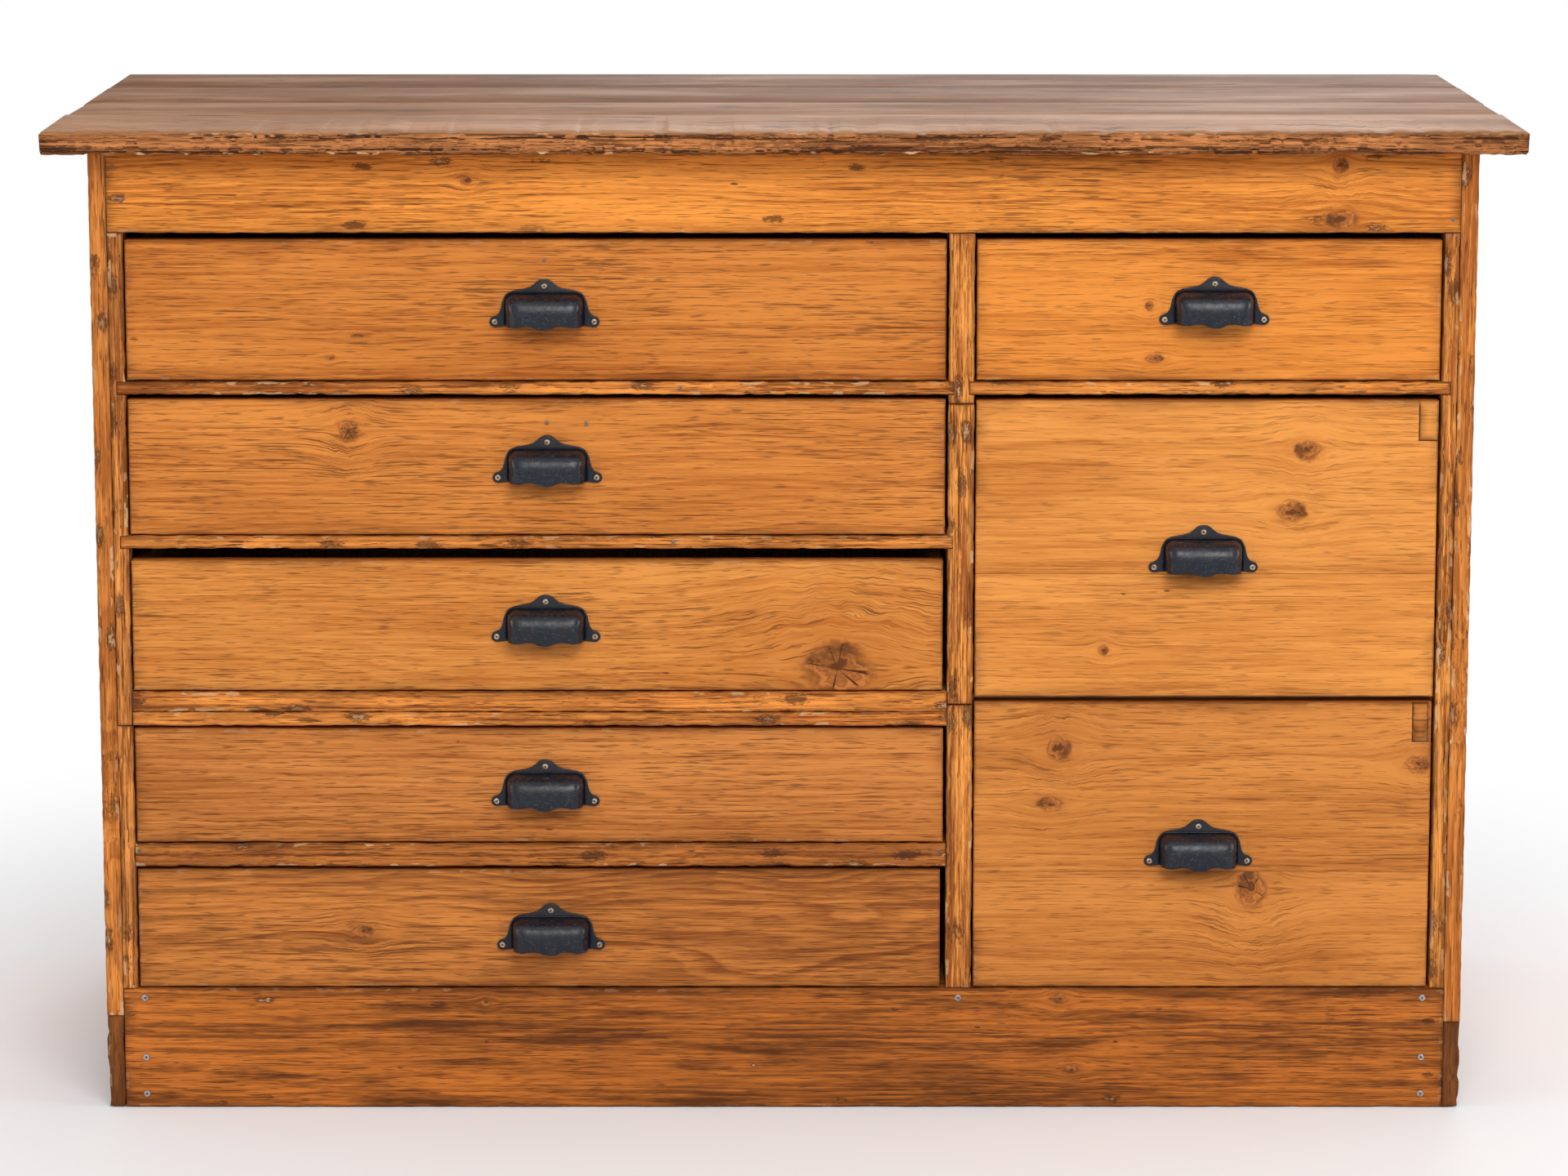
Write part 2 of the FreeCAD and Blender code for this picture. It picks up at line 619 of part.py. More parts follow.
# ---------------------------------------------------------------- drawers
def tail_edge(shoulder, tip, low, high):
    """A board's end from low to high, as Y and Z: tails that reach out from the shoulder to the tip."""
    count = max(2, round((high - low) / TAIL_PITCH))
    pitch = (high - low) / count
    half = TAIL_SHARE * pitch / 2
    root = half - abs(tip - shoulder) * DOVETAIL_SLOPE
    points = [(shoulder, low)]
    for i in range(count):
        middle = low + (i + 0.5) * pitch
        points += [(shoulder, middle - root), (tip, middle - half),
                   (tip, middle + half), (shoulder, middle + root)]
    return [*points, (shoulder, high)]


def drawer_side(inner, outer, low, high, back_low):
    """A drawer side: half-blind tails into the front, through tails into the back, and a groove."""
    front_end = tail_edge(DRAWER_SHOULDER, DRAWER_FACE + FRONT_LAP, low, high)
    rear_end = [(DRAWER_END, low), *tail_edge(DRAWER_END - BACK_BOARD, DRAWER_END, back_low, high)]
    rear_end.insert(1, (DRAWER_END, back_low))
    outline = [*reversed(front_end), *rear_end]
    left = min(inner, outer)
    board = prism([Vector(left, y, z) for y, z in outline], Vector(abs(outer - inner), 0, 0))
    groove_x = sorted((inner, inner + (GROOVE_DEPTH if outer > inner else -GROOVE_DEPTH)))
    groove = box(groove_x, (DRAWER_SHOULDER - GROOVE_DEPTH, DRAWER_END + OVERCUT),
                 (low + GROOVE_HEIGHT, low + GROOVE_HEIGHT + GROOVE_WIDTH))
    return board.cut(groove)


def bottom_panel(left, right, low):
    """The bottom: its ends and front edge are bevelled under, to fit the grooves."""
    slack = JOINT_GAP
    tongue_low = low + GROOVE_HEIGHT + slack
    tongue_high = low + GROOVE_HEIGHT + GROOVE_WIDTH - slack
    reach = GROOVE_DEPTH - slack
    sheet = box((left - reach, right + reach), (DRAWER_SHOULDER - reach, DRAWER_END),
                (tongue_low, tongue_high))
    field = [[Vector(left + inset, DRAWER_SHOULDER + inset, height),
              Vector(right - inset, DRAWER_SHOULDER + inset, height),
              Vector(right - inset, DRAWER_END, height),
              Vector(left + inset, DRAWER_END, height)]
             for height, inset in ((tongue_high - BOTTOM_PANEL, BEVEL_WIDTH), (tongue_low, slack))]
    return sheet.fuse(stacked(field)).removeSplitter()


def corner_patch(right, top, notch):
    """The piece let into the upper right corner of a deep front."""
    return box((right - PATCH_WIDTH, right - notch), (DRAWER_FACE, DRAWER_FACE + PATCH_DEPTH),
               (top - PATCH_HEIGHT, top))


def drawer_front(drawer, left, right, low, high, sides, holes):
    """The front: one board, or two glued edge to edge with a patched corner."""
    board = box((left, right), (DRAWER_FACE, DRAWER_SHOULDER), (low, high))
    board = eased(board, ARRIS, lambda b: at(b.YMin, DRAWER_FACE) and at(b.YMax, DRAWER_FACE))
    groove_floor = drawer.floor + SLIDE_GAP + GROOVE_HEIGHT
    reach = SIDE_BOARD - GROOVE_DEPTH
    groove = box((left + reach, right - reach),
                 (DRAWER_SHOULDER - GROOVE_DEPTH, DRAWER_SHOULDER + OVERCUT),
                 (groove_floor, groove_floor + GROOVE_WIDTH))
    board = cut_all(board, groove, *sides, *holes)
    if drawer.lower_board is None:
        return [board]
    seat = box((right - PATCH_WIDTH - JOINT_GAP, right + OVERCUT),
               (DRAWER_FACE - OVERCUT, DRAWER_FACE + PATCH_DEPTH),
               (high - PATCH_HEIGHT - JOINT_GAP, high + OVERCUT))
    board = cut_all(board, seat)
    return [*planks(board, "Z", [low + drawer.lower_board]), corner_patch(right, high, drawer.notch)]


def make_drawer(drawer):
    """All the nodes of one drawer."""
    left = drawer.bay[0] + LEFT_END_GAP
    right = drawer.bay[1] - drawer.right_gap
    front_low = drawer.floor + FRONT_FLOOR_GAP
    front_high = drawer.floor + drawer.opening - drawer.top_gap
    low = drawer.floor + SLIDE_GAP
    high = min(front_high - SIDE_DROP, drawer.clear_top)
    back_low = low + GROOVE_HEIGHT + GROOVE_WIDTH
    inner = (left + SIDE_BOARD, right - SIDE_BOARD)
    sides = [drawer_side(inner[0], left, low, high, back_low),
             drawer_side(inner[1], right, low, high, back_low)]
    back = box((left, right), (DRAWER_END - BACK_BOARD, DRAWER_END), (back_low, high))

    middle = sum(drawer.bay) / 2 + drawer.shift
    ear_level = (front_low + front_high) / 2 - drawer.drop
    fittings = [PULL.copy(), *(pull_screw(x, z) for x, z in pull_screw_places())]
    for fitting in fittings:
        fitting.translate(Vector(middle, DRAWER_FACE, ear_level))
    holes = [rod(middle + x, ear_level + z, DRAWER_FACE - OVERCUT, DRAWER_FACE + SCREW_BORE,
                 SCREW_SHANK_RADIUS + HOLE_GAP) for x, z in pull_screw_places()]
    return {
        f"{drawer.name}_front": drawer_front(drawer, left, right, front_low, front_high, sides, holes),
        f"{drawer.name}_box": [*sides, cut_all(back, *sides)],
        f"{drawer.name}_bottom": [bottom_panel(inner[0], inner[1], low)],
        f"{drawer.name}_pull": fittings[:1],
        f"{drawer.name}_screws": fittings[1:],
    }


def all_drawers():
    """The eight drawers. The lowest right drawer's sides stay under the set-back rail over them."""
    bays = {"left": (-BAY_EDGE, CENTRE_LEFT), "right": (CENTRE_RIGHT, BAY_EDGE)}
    under_rail = MIDDLE_FLOOR - THIN_RAIL - HIDDEN_RAIL_CLEARANCE
    drawers = []
    for i, (floor, _) in enumerate(left_floors()):
        drawers.append(Drawer(
            f"drawer_left_{i + 1}", bays["left"], floor, LEFT_OPENINGS[i], RAIL_BOTTOM,
            LEFT_TOP_GAPS[i], LEFT_RIGHT_GAPS[i], LEFT_PULL_SHIFTS[i], LEFT_PULL_DROPS[i], None, None))
    right_floors = (SHALLOW_FLOOR, MIDDLE_FLOOR, PLINTH_HEIGHT)
    openings = (*RIGHT_OPENINGS, MIDDLE_FLOOR - PLINTH_HEIGHT)
    clear_tops = (RAIL_BOTTOM, RAIL_BOTTOM, under_rail)
    for i, floor in enumerate(right_floors):
        drawers.append(Drawer(
            f"drawer_right_{i + 1}", bays["right"], floor, openings[i], clear_tops[i],
            RIGHT_TOP_GAPS[i], RIGHT_RIGHT_GAPS[i], RIGHT_PULL_SHIFTS[i], RIGHT_PULL_DROPS[i],
            LOWER_BOARD_HEIGHTS[i], PATCH_NOTCHES[i]))
    made = {}
    for drawer in drawers:
        made.update(make_drawer(drawer))
    return made


PULL = pull()

NODES = {
    "top_boards": top_boards(),
    "side_panel_left": side_panel(-1),
    "side_panel_right": side_panel(1),
    "foot_blocks": foot_blocks(),
    "side_stiles": side_stiles(),
    "centre_stile": stile(CENTRE_LEFT, CENTRE_RIGHT, CENTRE_STILE_JOINTS),
    "centre_partition": centre_partition(),
    "top_rail": top_rail(),
    "plinth_board": plinth_board(),
    "drawer_runners": drawer_runners(),
    "back_boards": back_boards(),
    "bottom_boards": bottom_boards(),
    "plinth_nails": [nail(x, z) for x, z in nail_places()],
    **left_rails(),
    **right_rails(),
    **all_drawers(),
}

os.makedirs("parts", exist_ok=True)
for name, solids in NODES.items():
    shape = solids[0] if len(solids) == 1 else Part.makeCompound(solids)
    shape.exportStep(f"parts/{name}.step")
print(f"{len(NODES)} nodes, {sum(len(s) for s in NODES.values())} solids")
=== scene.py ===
import json
from math import cos, pi, radians, sin

import bmesh
import bpy
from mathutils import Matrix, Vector

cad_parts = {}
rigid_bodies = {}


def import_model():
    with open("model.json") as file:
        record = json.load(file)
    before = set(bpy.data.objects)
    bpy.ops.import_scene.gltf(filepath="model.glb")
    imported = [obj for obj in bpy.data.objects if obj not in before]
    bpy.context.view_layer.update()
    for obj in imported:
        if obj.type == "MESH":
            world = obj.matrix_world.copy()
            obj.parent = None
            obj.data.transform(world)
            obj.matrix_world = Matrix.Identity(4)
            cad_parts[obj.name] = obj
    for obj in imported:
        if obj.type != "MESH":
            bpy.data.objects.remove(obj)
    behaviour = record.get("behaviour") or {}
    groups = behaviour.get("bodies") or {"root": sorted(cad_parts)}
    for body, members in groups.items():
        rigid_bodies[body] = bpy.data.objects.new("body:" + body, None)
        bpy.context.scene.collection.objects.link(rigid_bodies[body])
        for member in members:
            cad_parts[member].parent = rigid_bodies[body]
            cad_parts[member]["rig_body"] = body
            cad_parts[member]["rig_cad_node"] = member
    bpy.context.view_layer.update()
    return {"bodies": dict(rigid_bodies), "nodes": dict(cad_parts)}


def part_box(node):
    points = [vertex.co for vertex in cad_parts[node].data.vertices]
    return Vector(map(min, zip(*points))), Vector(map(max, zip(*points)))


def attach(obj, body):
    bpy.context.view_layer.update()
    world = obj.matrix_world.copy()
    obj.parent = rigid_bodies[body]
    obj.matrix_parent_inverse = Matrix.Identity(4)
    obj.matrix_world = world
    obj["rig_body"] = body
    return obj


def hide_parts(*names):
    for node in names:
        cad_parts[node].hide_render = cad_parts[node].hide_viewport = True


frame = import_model()

# ---------------------------------------------------------------- studio
# A pale floor that runs out into a white surround, with one broad soft lamp high in front of the
# cabinet and weaker ones at its sides and back. The camera stands a little above the top.
EYE = Vector((0.0004, -4.700, 1.334))
EYE_DIP = radians(9.39)
camera = bpy.data.objects.new("camera", bpy.data.cameras.new("camera"))
bpy.context.scene.collection.objects.link(camera)
camera.location = EYE
camera.rotation_euler = (pi / 2 - EYE_DIP, 0, 0)
camera.data.lens = 113.0
camera.data.shift_y = -0.075
bpy.context.scene.camera = camera
bpy.context.scene.view_settings.view_transform = "Standard"
MIDDLE = Vector((0, 0, 0.5))


def soft_lamp(name, place, width, height, power):
    """A broad soft box of light that faces the cabinet's middle."""
    lamp = bpy.data.objects.new(name, bpy.data.lights.new(name, "AREA"))
    bpy.context.scene.collection.objects.link(lamp)
    lamp.data.shape = "RECTANGLE"
    lamp.data.size = width
    lamp.data.size_y = height
    lamp.data.energy = power
    lamp.location = place
    lamp.rotation_euler = (MIDDLE - Vector(place)).to_track_quat("-Z", "Y").to_euler()


soft_lamp("front_lamp", (0.6, -3.5, 3.2), 2.4, 1.6, 80)
soft_lamp("left_lamp", (-4.0, -0.8, 1.6), 1.8, 1.8, 30)
soft_lamp("right_lamp", (4.0, -0.8, 1.8), 1.8, 1.8, 40)
soft_lamp("back_lamp", (0.8, 4.2, 2.6), 2.4, 1.6, 60)


def step(tree, kind, *values, **settings):
    """One step of a finish: a node with its sockets filled or joined in order."""
    made = tree.nodes.new(("Node" if kind in ("GroupInput", "GroupOutput") else "ShaderNode") + kind)
    for setting, value in settings.items():
        setattr(made, setting, value)
    for socket, value in zip(made.inputs, values):
        if isinstance(value, bpy.types.NodeSocket):
            tree.links.new(value, socket)
        elif value is not None:
            socket.default_value = value
    return made


def seen(tree):
    """1 where a thing is looked at, straight, in a reflection or through glass; 0 where it lights."""
    path = step(tree, "LightPath")
    seen_or_mirrored = step(tree, "Math", path.outputs["Is Camera Ray"],
                            path.outputs["Is Glossy Ray"], operation="MAXIMUM").outputs[0]
    return step(tree, "Math", seen_or_mirrored, path.outputs["Is Transmission Ray"],
                operation="MAXIMUM").outputs[0]


def new_tree(owner):
    """The empty list of steps of a new finish or surround."""
    owner.use_nodes = True
    owner.node_tree.nodes.clear()
    return owner.node_tree


surround = bpy.data.worlds.new("surround")
bpy.context.scene.world = surround
tree = new_tree(surround)
lit = step(tree, "Background", (0.95, 0.97, 1.0, 1), 0.62)
white = step(tree, "Background", (1, 1, 1, 1), 1.0)
both = step(tree, "MixShader", seen(tree), lit.outputs[0], white.outputs[0])
step(tree, "OutputWorld", both.outputs[0])

bpy.ops.mesh.primitive_plane_add(size=40, location=(0, 0, -0.0005))
floor = bpy.context.object
floor.name = "floor"
pale = bpy.data.materials.new("pale floor")
tree = new_tree(pale)
place = step(tree, "TexCoord").outputs["Object"]
distance = step(tree, "VectorMath", place, operation="LENGTH").outputs["Value"]
far = step(tree, "MapRange", distance, 0.70, 1.5, 0.0, 1.0, interpolation_type="SMOOTHSTEP").outputs[0]
matt = step(tree, "BsdfDiffuse", (0.90, 0.90, 0.90, 1))
glow = step(tree, "Emission", (1, 1, 1, 1), 1.0)
share = step(tree, "Math", far, seen(tree), operation="MULTIPLY").outputs[0]
both = step(tree, "MixShader", share, matt.outputs[0], glow.outputs[0])
step(tree, "OutputMaterial", both.outputs[0])
floor.data.materials.append(pale)

# ---------------------------------------------------------------- side boards
# Each side is three upright pine boards, butted edge to edge and planed flat, nailed to the bottom and
# the rails. A century of knocks has worn their front arrises and chipped the old shellac off them.
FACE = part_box("plinth_board")[0].y


def paint(red, green, blue):
    """A finish's colour, from its red, green and blue out of 255."""
    return (*(((c / 255 + 0.055) / 1.055) ** 2.4 for c in (red, green, blue)), 1)


def sockets(tree, direction, **kinds):
    """The ways into or out of a group of steps."""
    for name, kind in kinds.items():
        tree.interface.new_socket(name.replace("_", " "), in_out=direction,
                                  socket_type="NodeSocket" + kind)


def sums(tree, operation, *values):
    """One sum on numbers, or the same one again and again on more of them."""
    total = step(tree, "Math", *values[:2], operation=operation).outputs[0]
    for value in values[2:]:
        total = step(tree, "Math", total, value, operation=operation).outputs[0]
    return total


def plus(tree, *values):
    """Two or more numbers added up."""
    return sums(tree, "ADD", *values)


def times(tree, *values):
    """Two or more numbers multiplied."""
    return sums(tree, "MULTIPLY", *values)


def ramp(tree, value, low, high, low_out=0.0, high_out=1.0):
    """An even ramp that stays at its ends."""
    return step(tree, "MapRange", value, low, high, low_out, high_out).outputs[0]


def mottle(tree, place, scale, detail=2.0, rough=0.5):
    """Soft noise, longer or shorter along each direction, from about 0.3 to 0.7."""
    spread = step(tree, "VectorMath", place, scale, operation="MULTIPLY").outputs[0]
    return step(tree, "TexNoise", spread, None, 1.0, detail, rough).outputs[0]


def mix(tree, share, first, second):
    """One colour over another."""
    made = step(tree, "Mix", data_type="RGBA")
    for socket, value in zip((made.inputs["Factor"], *made.inputs[6:8]), (share, first, second)):
        if isinstance(value, bpy.types.NodeSocket):
            tree.links.new(value, socket)
        else:
            socket.default_value = value
    return made.outputs[2]


def growth():
    """Sawn pine with its old finish. Place has the grain along X and the board's face across Z, and
    bends round the knots. Board is the same without the bends, and Half is half the board's size."""
    tree = bpy.data.node_groups.new("sawn pine", "ShaderNodeTree")
    sockets(tree, "INPUT", Place="Vector", Board="Vector", Half="Vector", Pith="Vector", Seed="Float",
            Ring="Float", Sway="Float", Figure="Float", Dashes="Float", Nicks="Float", Smears="Float",
            Grime="Float", Joint="Float", Chips="Float", Gouges="Float", Worn_top="Float",
            Light="Color", Dark="Color", Dirt="Color", Bare="Color", Stained="Color")
    sockets(tree, "OUTPUT", Colour="Color", Roughness="Float", Height="Float")
    given = step(tree, "GroupInput").outputs
    seed = given["Seed"]
    away = step(tree, "CombineXYZ", times(tree, seed, 3.1), times(tree, seed, 7.7),
                times(tree, seed, 1.3)).outputs[0]
    place = step(tree, "VectorMath", given["Place"], away, operation="ADD").outputs[0]
    board = step(tree, "VectorMath", given["Board"], away, operation="ADD").outputs[0]

    # growth rings, as cylinders about a wandering pith
    _, across, deep = step(tree, "SeparateXYZ", given["Place"]).outputs
    _, pith_across, pith_deep = step(tree, "SeparateXYZ", given["Pith"]).outputs
    wander = times(tree, mottle(tree, place, (2.0, 4.5, 4.5), 2.0), given["Sway"])
    side = plus(tree, sums(tree, "SUBTRACT", across, pith_across), wander)
    down = plus(tree, sums(tree, "SUBTRACT", deep, pith_deep), wander)
    reach = sums(tree, "SQRT", plus(tree, times(tree, side, side), times(tree, down, down)))
    waves = mottle(tree, place, (5.0, 45.0, 45.0), 2.0)
    count = plus(tree, sums(tree, "DIVIDE", reach, given["Ring"]), times(tree, waves, 2.4))
    part = sums(tree, "FRACT", count)
    late = times(tree, ramp(tree, part, 0.15, 0.85), ramp(tree, part, 1.0, 0.86))
    year = step(tree, "TexWhiteNoise", None, plus(tree, sums(tree, "FLOOR", count), seed),
                noise_dimensions="1D").outputs[0]
    rings = times(tree, late, ramp(tree, year, 0.0, 1.0, 0.15, 1.0))

    # streaks, fibres and patches of older wax
    streak = ramp(tree, mottle(tree, place, (6.0, 130.0, 130.0), 4.0, 0.7), 0.36, 0.64)
    lines = ramp(tree, mottle(tree, place, (13.0, 420.0, 420.0), 3.0, 0.7), 0.34, 0.66)
    fibre = mottle(tree, place, (16.0, 900.0, 900.0), 1.0)
    patches = mottle(tree, board, (2.4, 9.0, 9.0), 2.0)
    dark = plus(tree, times(tree, rings, 0.56), times(tree, streak, 0.34),
                ramp(tree, lines, 0.0, 1.0, -0.24, 0.36), ramp(tree, fibre, 0.3, 0.7, -0.12, 0.12))
    dark = times(tree, dark, given["Figure"])
    dark = plus(tree, dark, ramp(tree, patches, 0.3, 0.7, -0.30, 0.34))
    colour = mix(tree, dark, given["Light"], given["Dark"])

    # short dark dashes, in drifts
    dash = mottle(tree, place, (18.0, 620.0, 620.0), 1.5)
    drift = ramp(tree, mottle(tree, board, (4.0, 18.0, 18.0), 2.0), 0.40, 0.64, 0.0, 1.0)
    level = plus(tree, dash, times(tree, drift, 0.07))
    faint = plus(tree, mottle(tree, place, (48.0, 640.0, 640.0), 1.0), times(tree, drift, 0.05))
    dash = sums(tree, "MAXIMUM", ramp(tree, level, 0.65, 0.73, 0.0, 0.9),
                ramp(tree, faint, 0.61, 0.72, 0.0, 0.7))
    dash = times(tree, dash, given["Dashes"])
    colour = mix(tree, dash, colour, given["Dirt"])
    smear = ramp(tree, mottle(tree, place, (6.0, 60.0, 60.0), 4.0, 0.7), 0.50, 0.66)
    colour = mix(tree, times(tree, smear, given["Smears"]), colour, given["Dirt"])

    # how far the nearest arris is: the second smallest distance to the board's faces
    out = step(tree, "VectorMath", given["Board"], operation="ABSOLUTE").outputs[0]
    inset = step(tree, "VectorMath", given["Half"], out, operation="SUBTRACT").outputs[0]
    ends, edges, faces = step(tree, "SeparateXYZ", inset).outputs
    lesser = sums(tree, "MINIMUM", ends, edges)
    greater = sums(tree, "MAXIMUM", ends, edges)
    arris = sums(tree, "MAXIMUM", lesser, sums(tree, "MINIMUM", greater, faces))

    # nicks with a dark rim and now and then a pale middle, larger towards the arrises
    cells = step(tree, "VectorMath", board, (24.0, 64.0, 64.0), operation="MULTIPLY").outputs[0]
    nick = step(tree, "TexVoronoi", cells, None, 1.0)
    chance, pale, _ = step(tree, "SeparateColor", nick.outputs["Color"]).outputs
    few = ramp(tree, plus(tree, chance, times(tree, given["Nicks"], 0.5)), 1.0, 1.01)
    torn = ramp(tree, mottle(tree, board, (200.0, 600.0, 600.0), 3.0, 0.65), 0.3, 0.7, -0.45, 0.45)
    size = times(tree, ramp(tree, given["Nicks"], 0.0, 1.0, 0.05, 0.36),
                 ramp(tree, arris, 0.022, 0.012, 0.3, 1.0))
    torn = plus(tree, sums(tree, "DIVIDE", nick.outputs["Distance"], size), torn)
    rim = times(tree, ramp(tree, torn, 1.0, 0.6), few)
    colour = mix(tree, times(tree, rim, 0.75), colour, paint(66, 36, 18))
    nick = times(tree, ramp(tree, torn, 0.45, 0.25), few, ramp(tree, pale, 0.5, 0.7))
    colour = mix(tree, nick, colour, paint(196, 150, 108))

    # grime along the arrises, then chips where bare wood shows
    dirt = ramp(tree, mottle(tree, board, (9.0, 30.0, 30.0), 3.0, 0.65), 0.36, 0.64)
    near = ramp(tree, arris, 0.016, 0.0)
    close = ramp(tree, arris, 0.0034, 0.0006)
    grime = sums(tree, "MAXIMUM", times(tree, near, near, dirt),
                 times(tree, close, ramp(tree, dirt, 0.0, 0.6, 0.35, 1.0)))
    far_edge = times(tree, step(tree, "SeparateXYZ", given["Board"]).outputs[1], given["Joint"])
    open_edge = ramp(tree, far_edge, 0.0, 0.01, 1.0, 0.12)
    grime = times(tree, grime, given["Grime"], open_edge)
    colour = mix(tree, grime, colour, given["Dirt"])
    gouge = ramp(tree, mottle(tree, board, (12.0, 360.0, 360.0), 3.0, 0.7), 0.52, 0.58)
    gouge = times(tree, gouge, ramp(tree, arris, 0.016, 0.006), given["Gouges"])
    colour = mix(tree, gouge, colour, paint(66, 40, 24))
    chip = mottle(tree, board, (60.0, 150.0, 150.0), 2.0)
    lack = ramp(tree, mottle(tree, board, (8.0, 12.0, 12.0), 1.0), 0.46, 0.58)
    chip = times(tree, ramp(tree, chip, 0.56, 0.60), ramp(tree, arris, 0.0040, 0.0026), lack,
                 times(tree, given["Chips"], open_edge))
    colour = mix(tree, chip, colour, paint(224, 182, 136))

    # the bare upper face of the top, worn grey brown with a painted sheen in its colour
    above = step(tree, "SeparateXYZ", given["Board"]).outputs[2]
    _, _, half_deep = step(tree, "SeparateXYZ", given["Half"]).outputs
    bare_and_sheen = ramp(tree, sums(tree, "SUBTRACT", half_deep, above), 0.004, 0.0012)
    bare_and_sheen = times(tree, bare_and_sheen, given["Worn top"])
    grey = mix(tree, times(tree, dark, 0.6), given["Bare"], given["Stained"])
    cloud = mottle(tree, board, (4.0, 16.0, 16.0), 3.0, 0.6)
    grey = mix(tree, ramp(tree, cloud, 0.50, 0.68, 0.0, 0.5), grey, given["Stained"])
    grey = mix(tree, ramp(tree, cloud, 0.48, 0.34, 0.0, 0.25), grey, paint(210, 176, 146))
    stain = ramp(tree, mottle(tree, board, (9.0, 40.0, 40.0), 4.0, 0.65), 0.58, 0.68)
    grey = mix(tree, times(tree, stain, 0.75), grey, paint(78, 52, 36))
    speck = mottle(tree, board, (22.0, 330.0, 330.0), 3.0, 0.7)
    grey = mix(tree, ramp(tree, speck, 0.54, 0.70, 0.0, 0.55), grey, given["Stained"])
    grey = mix(tree, ramp(tree, speck, 0.44, 0.30, 0.0, 0.2), grey, paint(206, 170, 142))
    colour = mix(tree, bare_and_sheen, colour, grey)

    rough = plus(tree, ramp(tree, patches, 0.3, 0.7, 0.44, 0.58), times(tree, grime, 0.2))
    height = plus(tree, sums(tree, "SUBTRACT", times(tree, rings, 0.25), dash), times(tree, fibre, 0.5))
    height = sums(tree, "SUBTRACT", height, plus(tree, chip, rim, times(tree, gouge, 2.0)))
    step(tree, "GroupOutput", colour, rough, height)
    return tree


def branch():
    """A knot through a board: its rings and bark, and the grain that bends round it."""
    tree = bpy.data.node_groups.new("knot", "ShaderNodeTree")
    sockets(tree, "INPUT", Place="Vector", Centre="Vector", Size="Vector", Seed="Float", Cracks="Float")
    sockets(tree, "OUTPUT", Place="Vector", Mask="Float", Colour="Color", Halo="Float")
    given = step(tree, "GroupInput").outputs
    away = step(tree, "VectorMath", given["Place"], given["Centre"], operation="SUBTRACT").outputs[0]
    share = step(tree, "VectorMath", away, given["Size"], operation="DIVIDE").outputs[0]
    along, across, _ = step(tree, "SeparateXYZ", share).outputs
    flat = step(tree, "CombineXYZ", along, across, given["Seed"]).outputs[0]
    uneven = step(tree, "TexNoise", flat, None, 1.3, 2.0, 0.5).outputs[0]
    reach = step(tree, "VectorMath", step(tree, "CombineXYZ", along, across, 0.0).outputs[0],
                 operation="LENGTH").outputs["Value"]
    reach = plus(tree, reach, ramp(tree, uneven, 0.3, 0.7, -0.26, 0.26))
    far = times(tree, reach, 0.36)
    pull = sums(tree, "EXPONENT", times(tree, far, far, -1.0))
    part = step(tree, "SeparateXYZ", away).outputs[1]
    shift = step(tree, "CombineXYZ", 0.0, times(tree, part, pull, -0.8), 0.0).outputs[0]
    bent = step(tree, "VectorMath", given["Place"], shift, operation="ADD").outputs[0]
    mask = ramp(tree, reach, 1.22, 0.80)
    rough = step(tree, "TexNoise", flat, None, 3.4, 3.0, 0.65).outputs[0]
    rings = plus(tree, times(tree, reach, 15.0), ramp(tree, rough, 0.3, 0.7, -3.0, 3.0))
    rings = times(tree, ramp(tree, sums(tree, "SINE", rings), -1.0, 1.0), 0.7)
    body = mix(tree, rings, paint(200, 122, 58), paint(122, 66, 32))
    turn = times(tree, given["Seed"], 1.9)
    dark_side = plus(tree, times(tree, along, sums(tree, "COSINE", turn)),
                     times(tree, across, sums(tree, "SINE", turn)))
    dark_side = ramp(tree, plus(tree, dark_side, ramp(tree, rough, 0.3, 0.7, -0.5, 0.5)), 0.0, 0.7)
    dark_side = times(tree, dark_side, ramp(tree, reach, 1.05, 0.75))
    body = mix(tree, times(tree, dark_side, 0.8), body, paint(62, 32, 17))
    heart = ramp(tree, plus(tree, reach, rough), 0.95, 0.70, 0.0, 0.85)
    body = mix(tree, heart, body, paint(72, 37, 20))
    bark = times(tree, ramp(tree, reach, 0.74, 0.94), ramp(tree, uneven, 0.46, 0.56, 0.0, 0.8))
    body = mix(tree, bark, body, paint(70, 38, 18))
    angle = sums(tree, "ARCTAN2", across, along)
    split = step(tree, "TexNoise", None, plus(tree, angle, given["Seed"]), 2.6, 2.0, 0.7,
                 noise_dimensions="1D").outputs[0]
    split = times(tree, ramp(tree, split, 0.60, 0.66), given["Cracks"], ramp(tree, reach, 0.95, 0.75))
    body = mix(tree, split, body, paint(40, 22, 14))
    step(tree, "GroupOutput", bent, mask, body, ramp(tree, reach, 2.0, 1.0))
    return tree


def coat(tree, colour, rough, height, strength, distance, gloss):
    """The surface that the steps before lead to, with its small bumps."""
    bump = step(tree, "Bump", strength, distance)
    tree.links.new(height, bump.inputs["Height"])
    shader = step(tree, "BsdfPrincipled")
    shader.inputs["Specular IOR Level"].default_value = gloss
    for socket, value in (("Base Color", colour), ("Roughness", rough), ("Normal", bump.outputs[0])):
        tree.links.new(value, shader.inputs[socket])
    step(tree, "OutputMaterial", shader.outputs[0])
    return shader


SAWN, KNOT = growth(), branch()
HONEY, AMBER = paint(216, 133, 58), paint(168, 88, 28)
# the dark for dashes, smears and grime, and also the colour of the shadow painted under the pulls
SOOT_AND_SHADOW = paint(88, 46, 17)


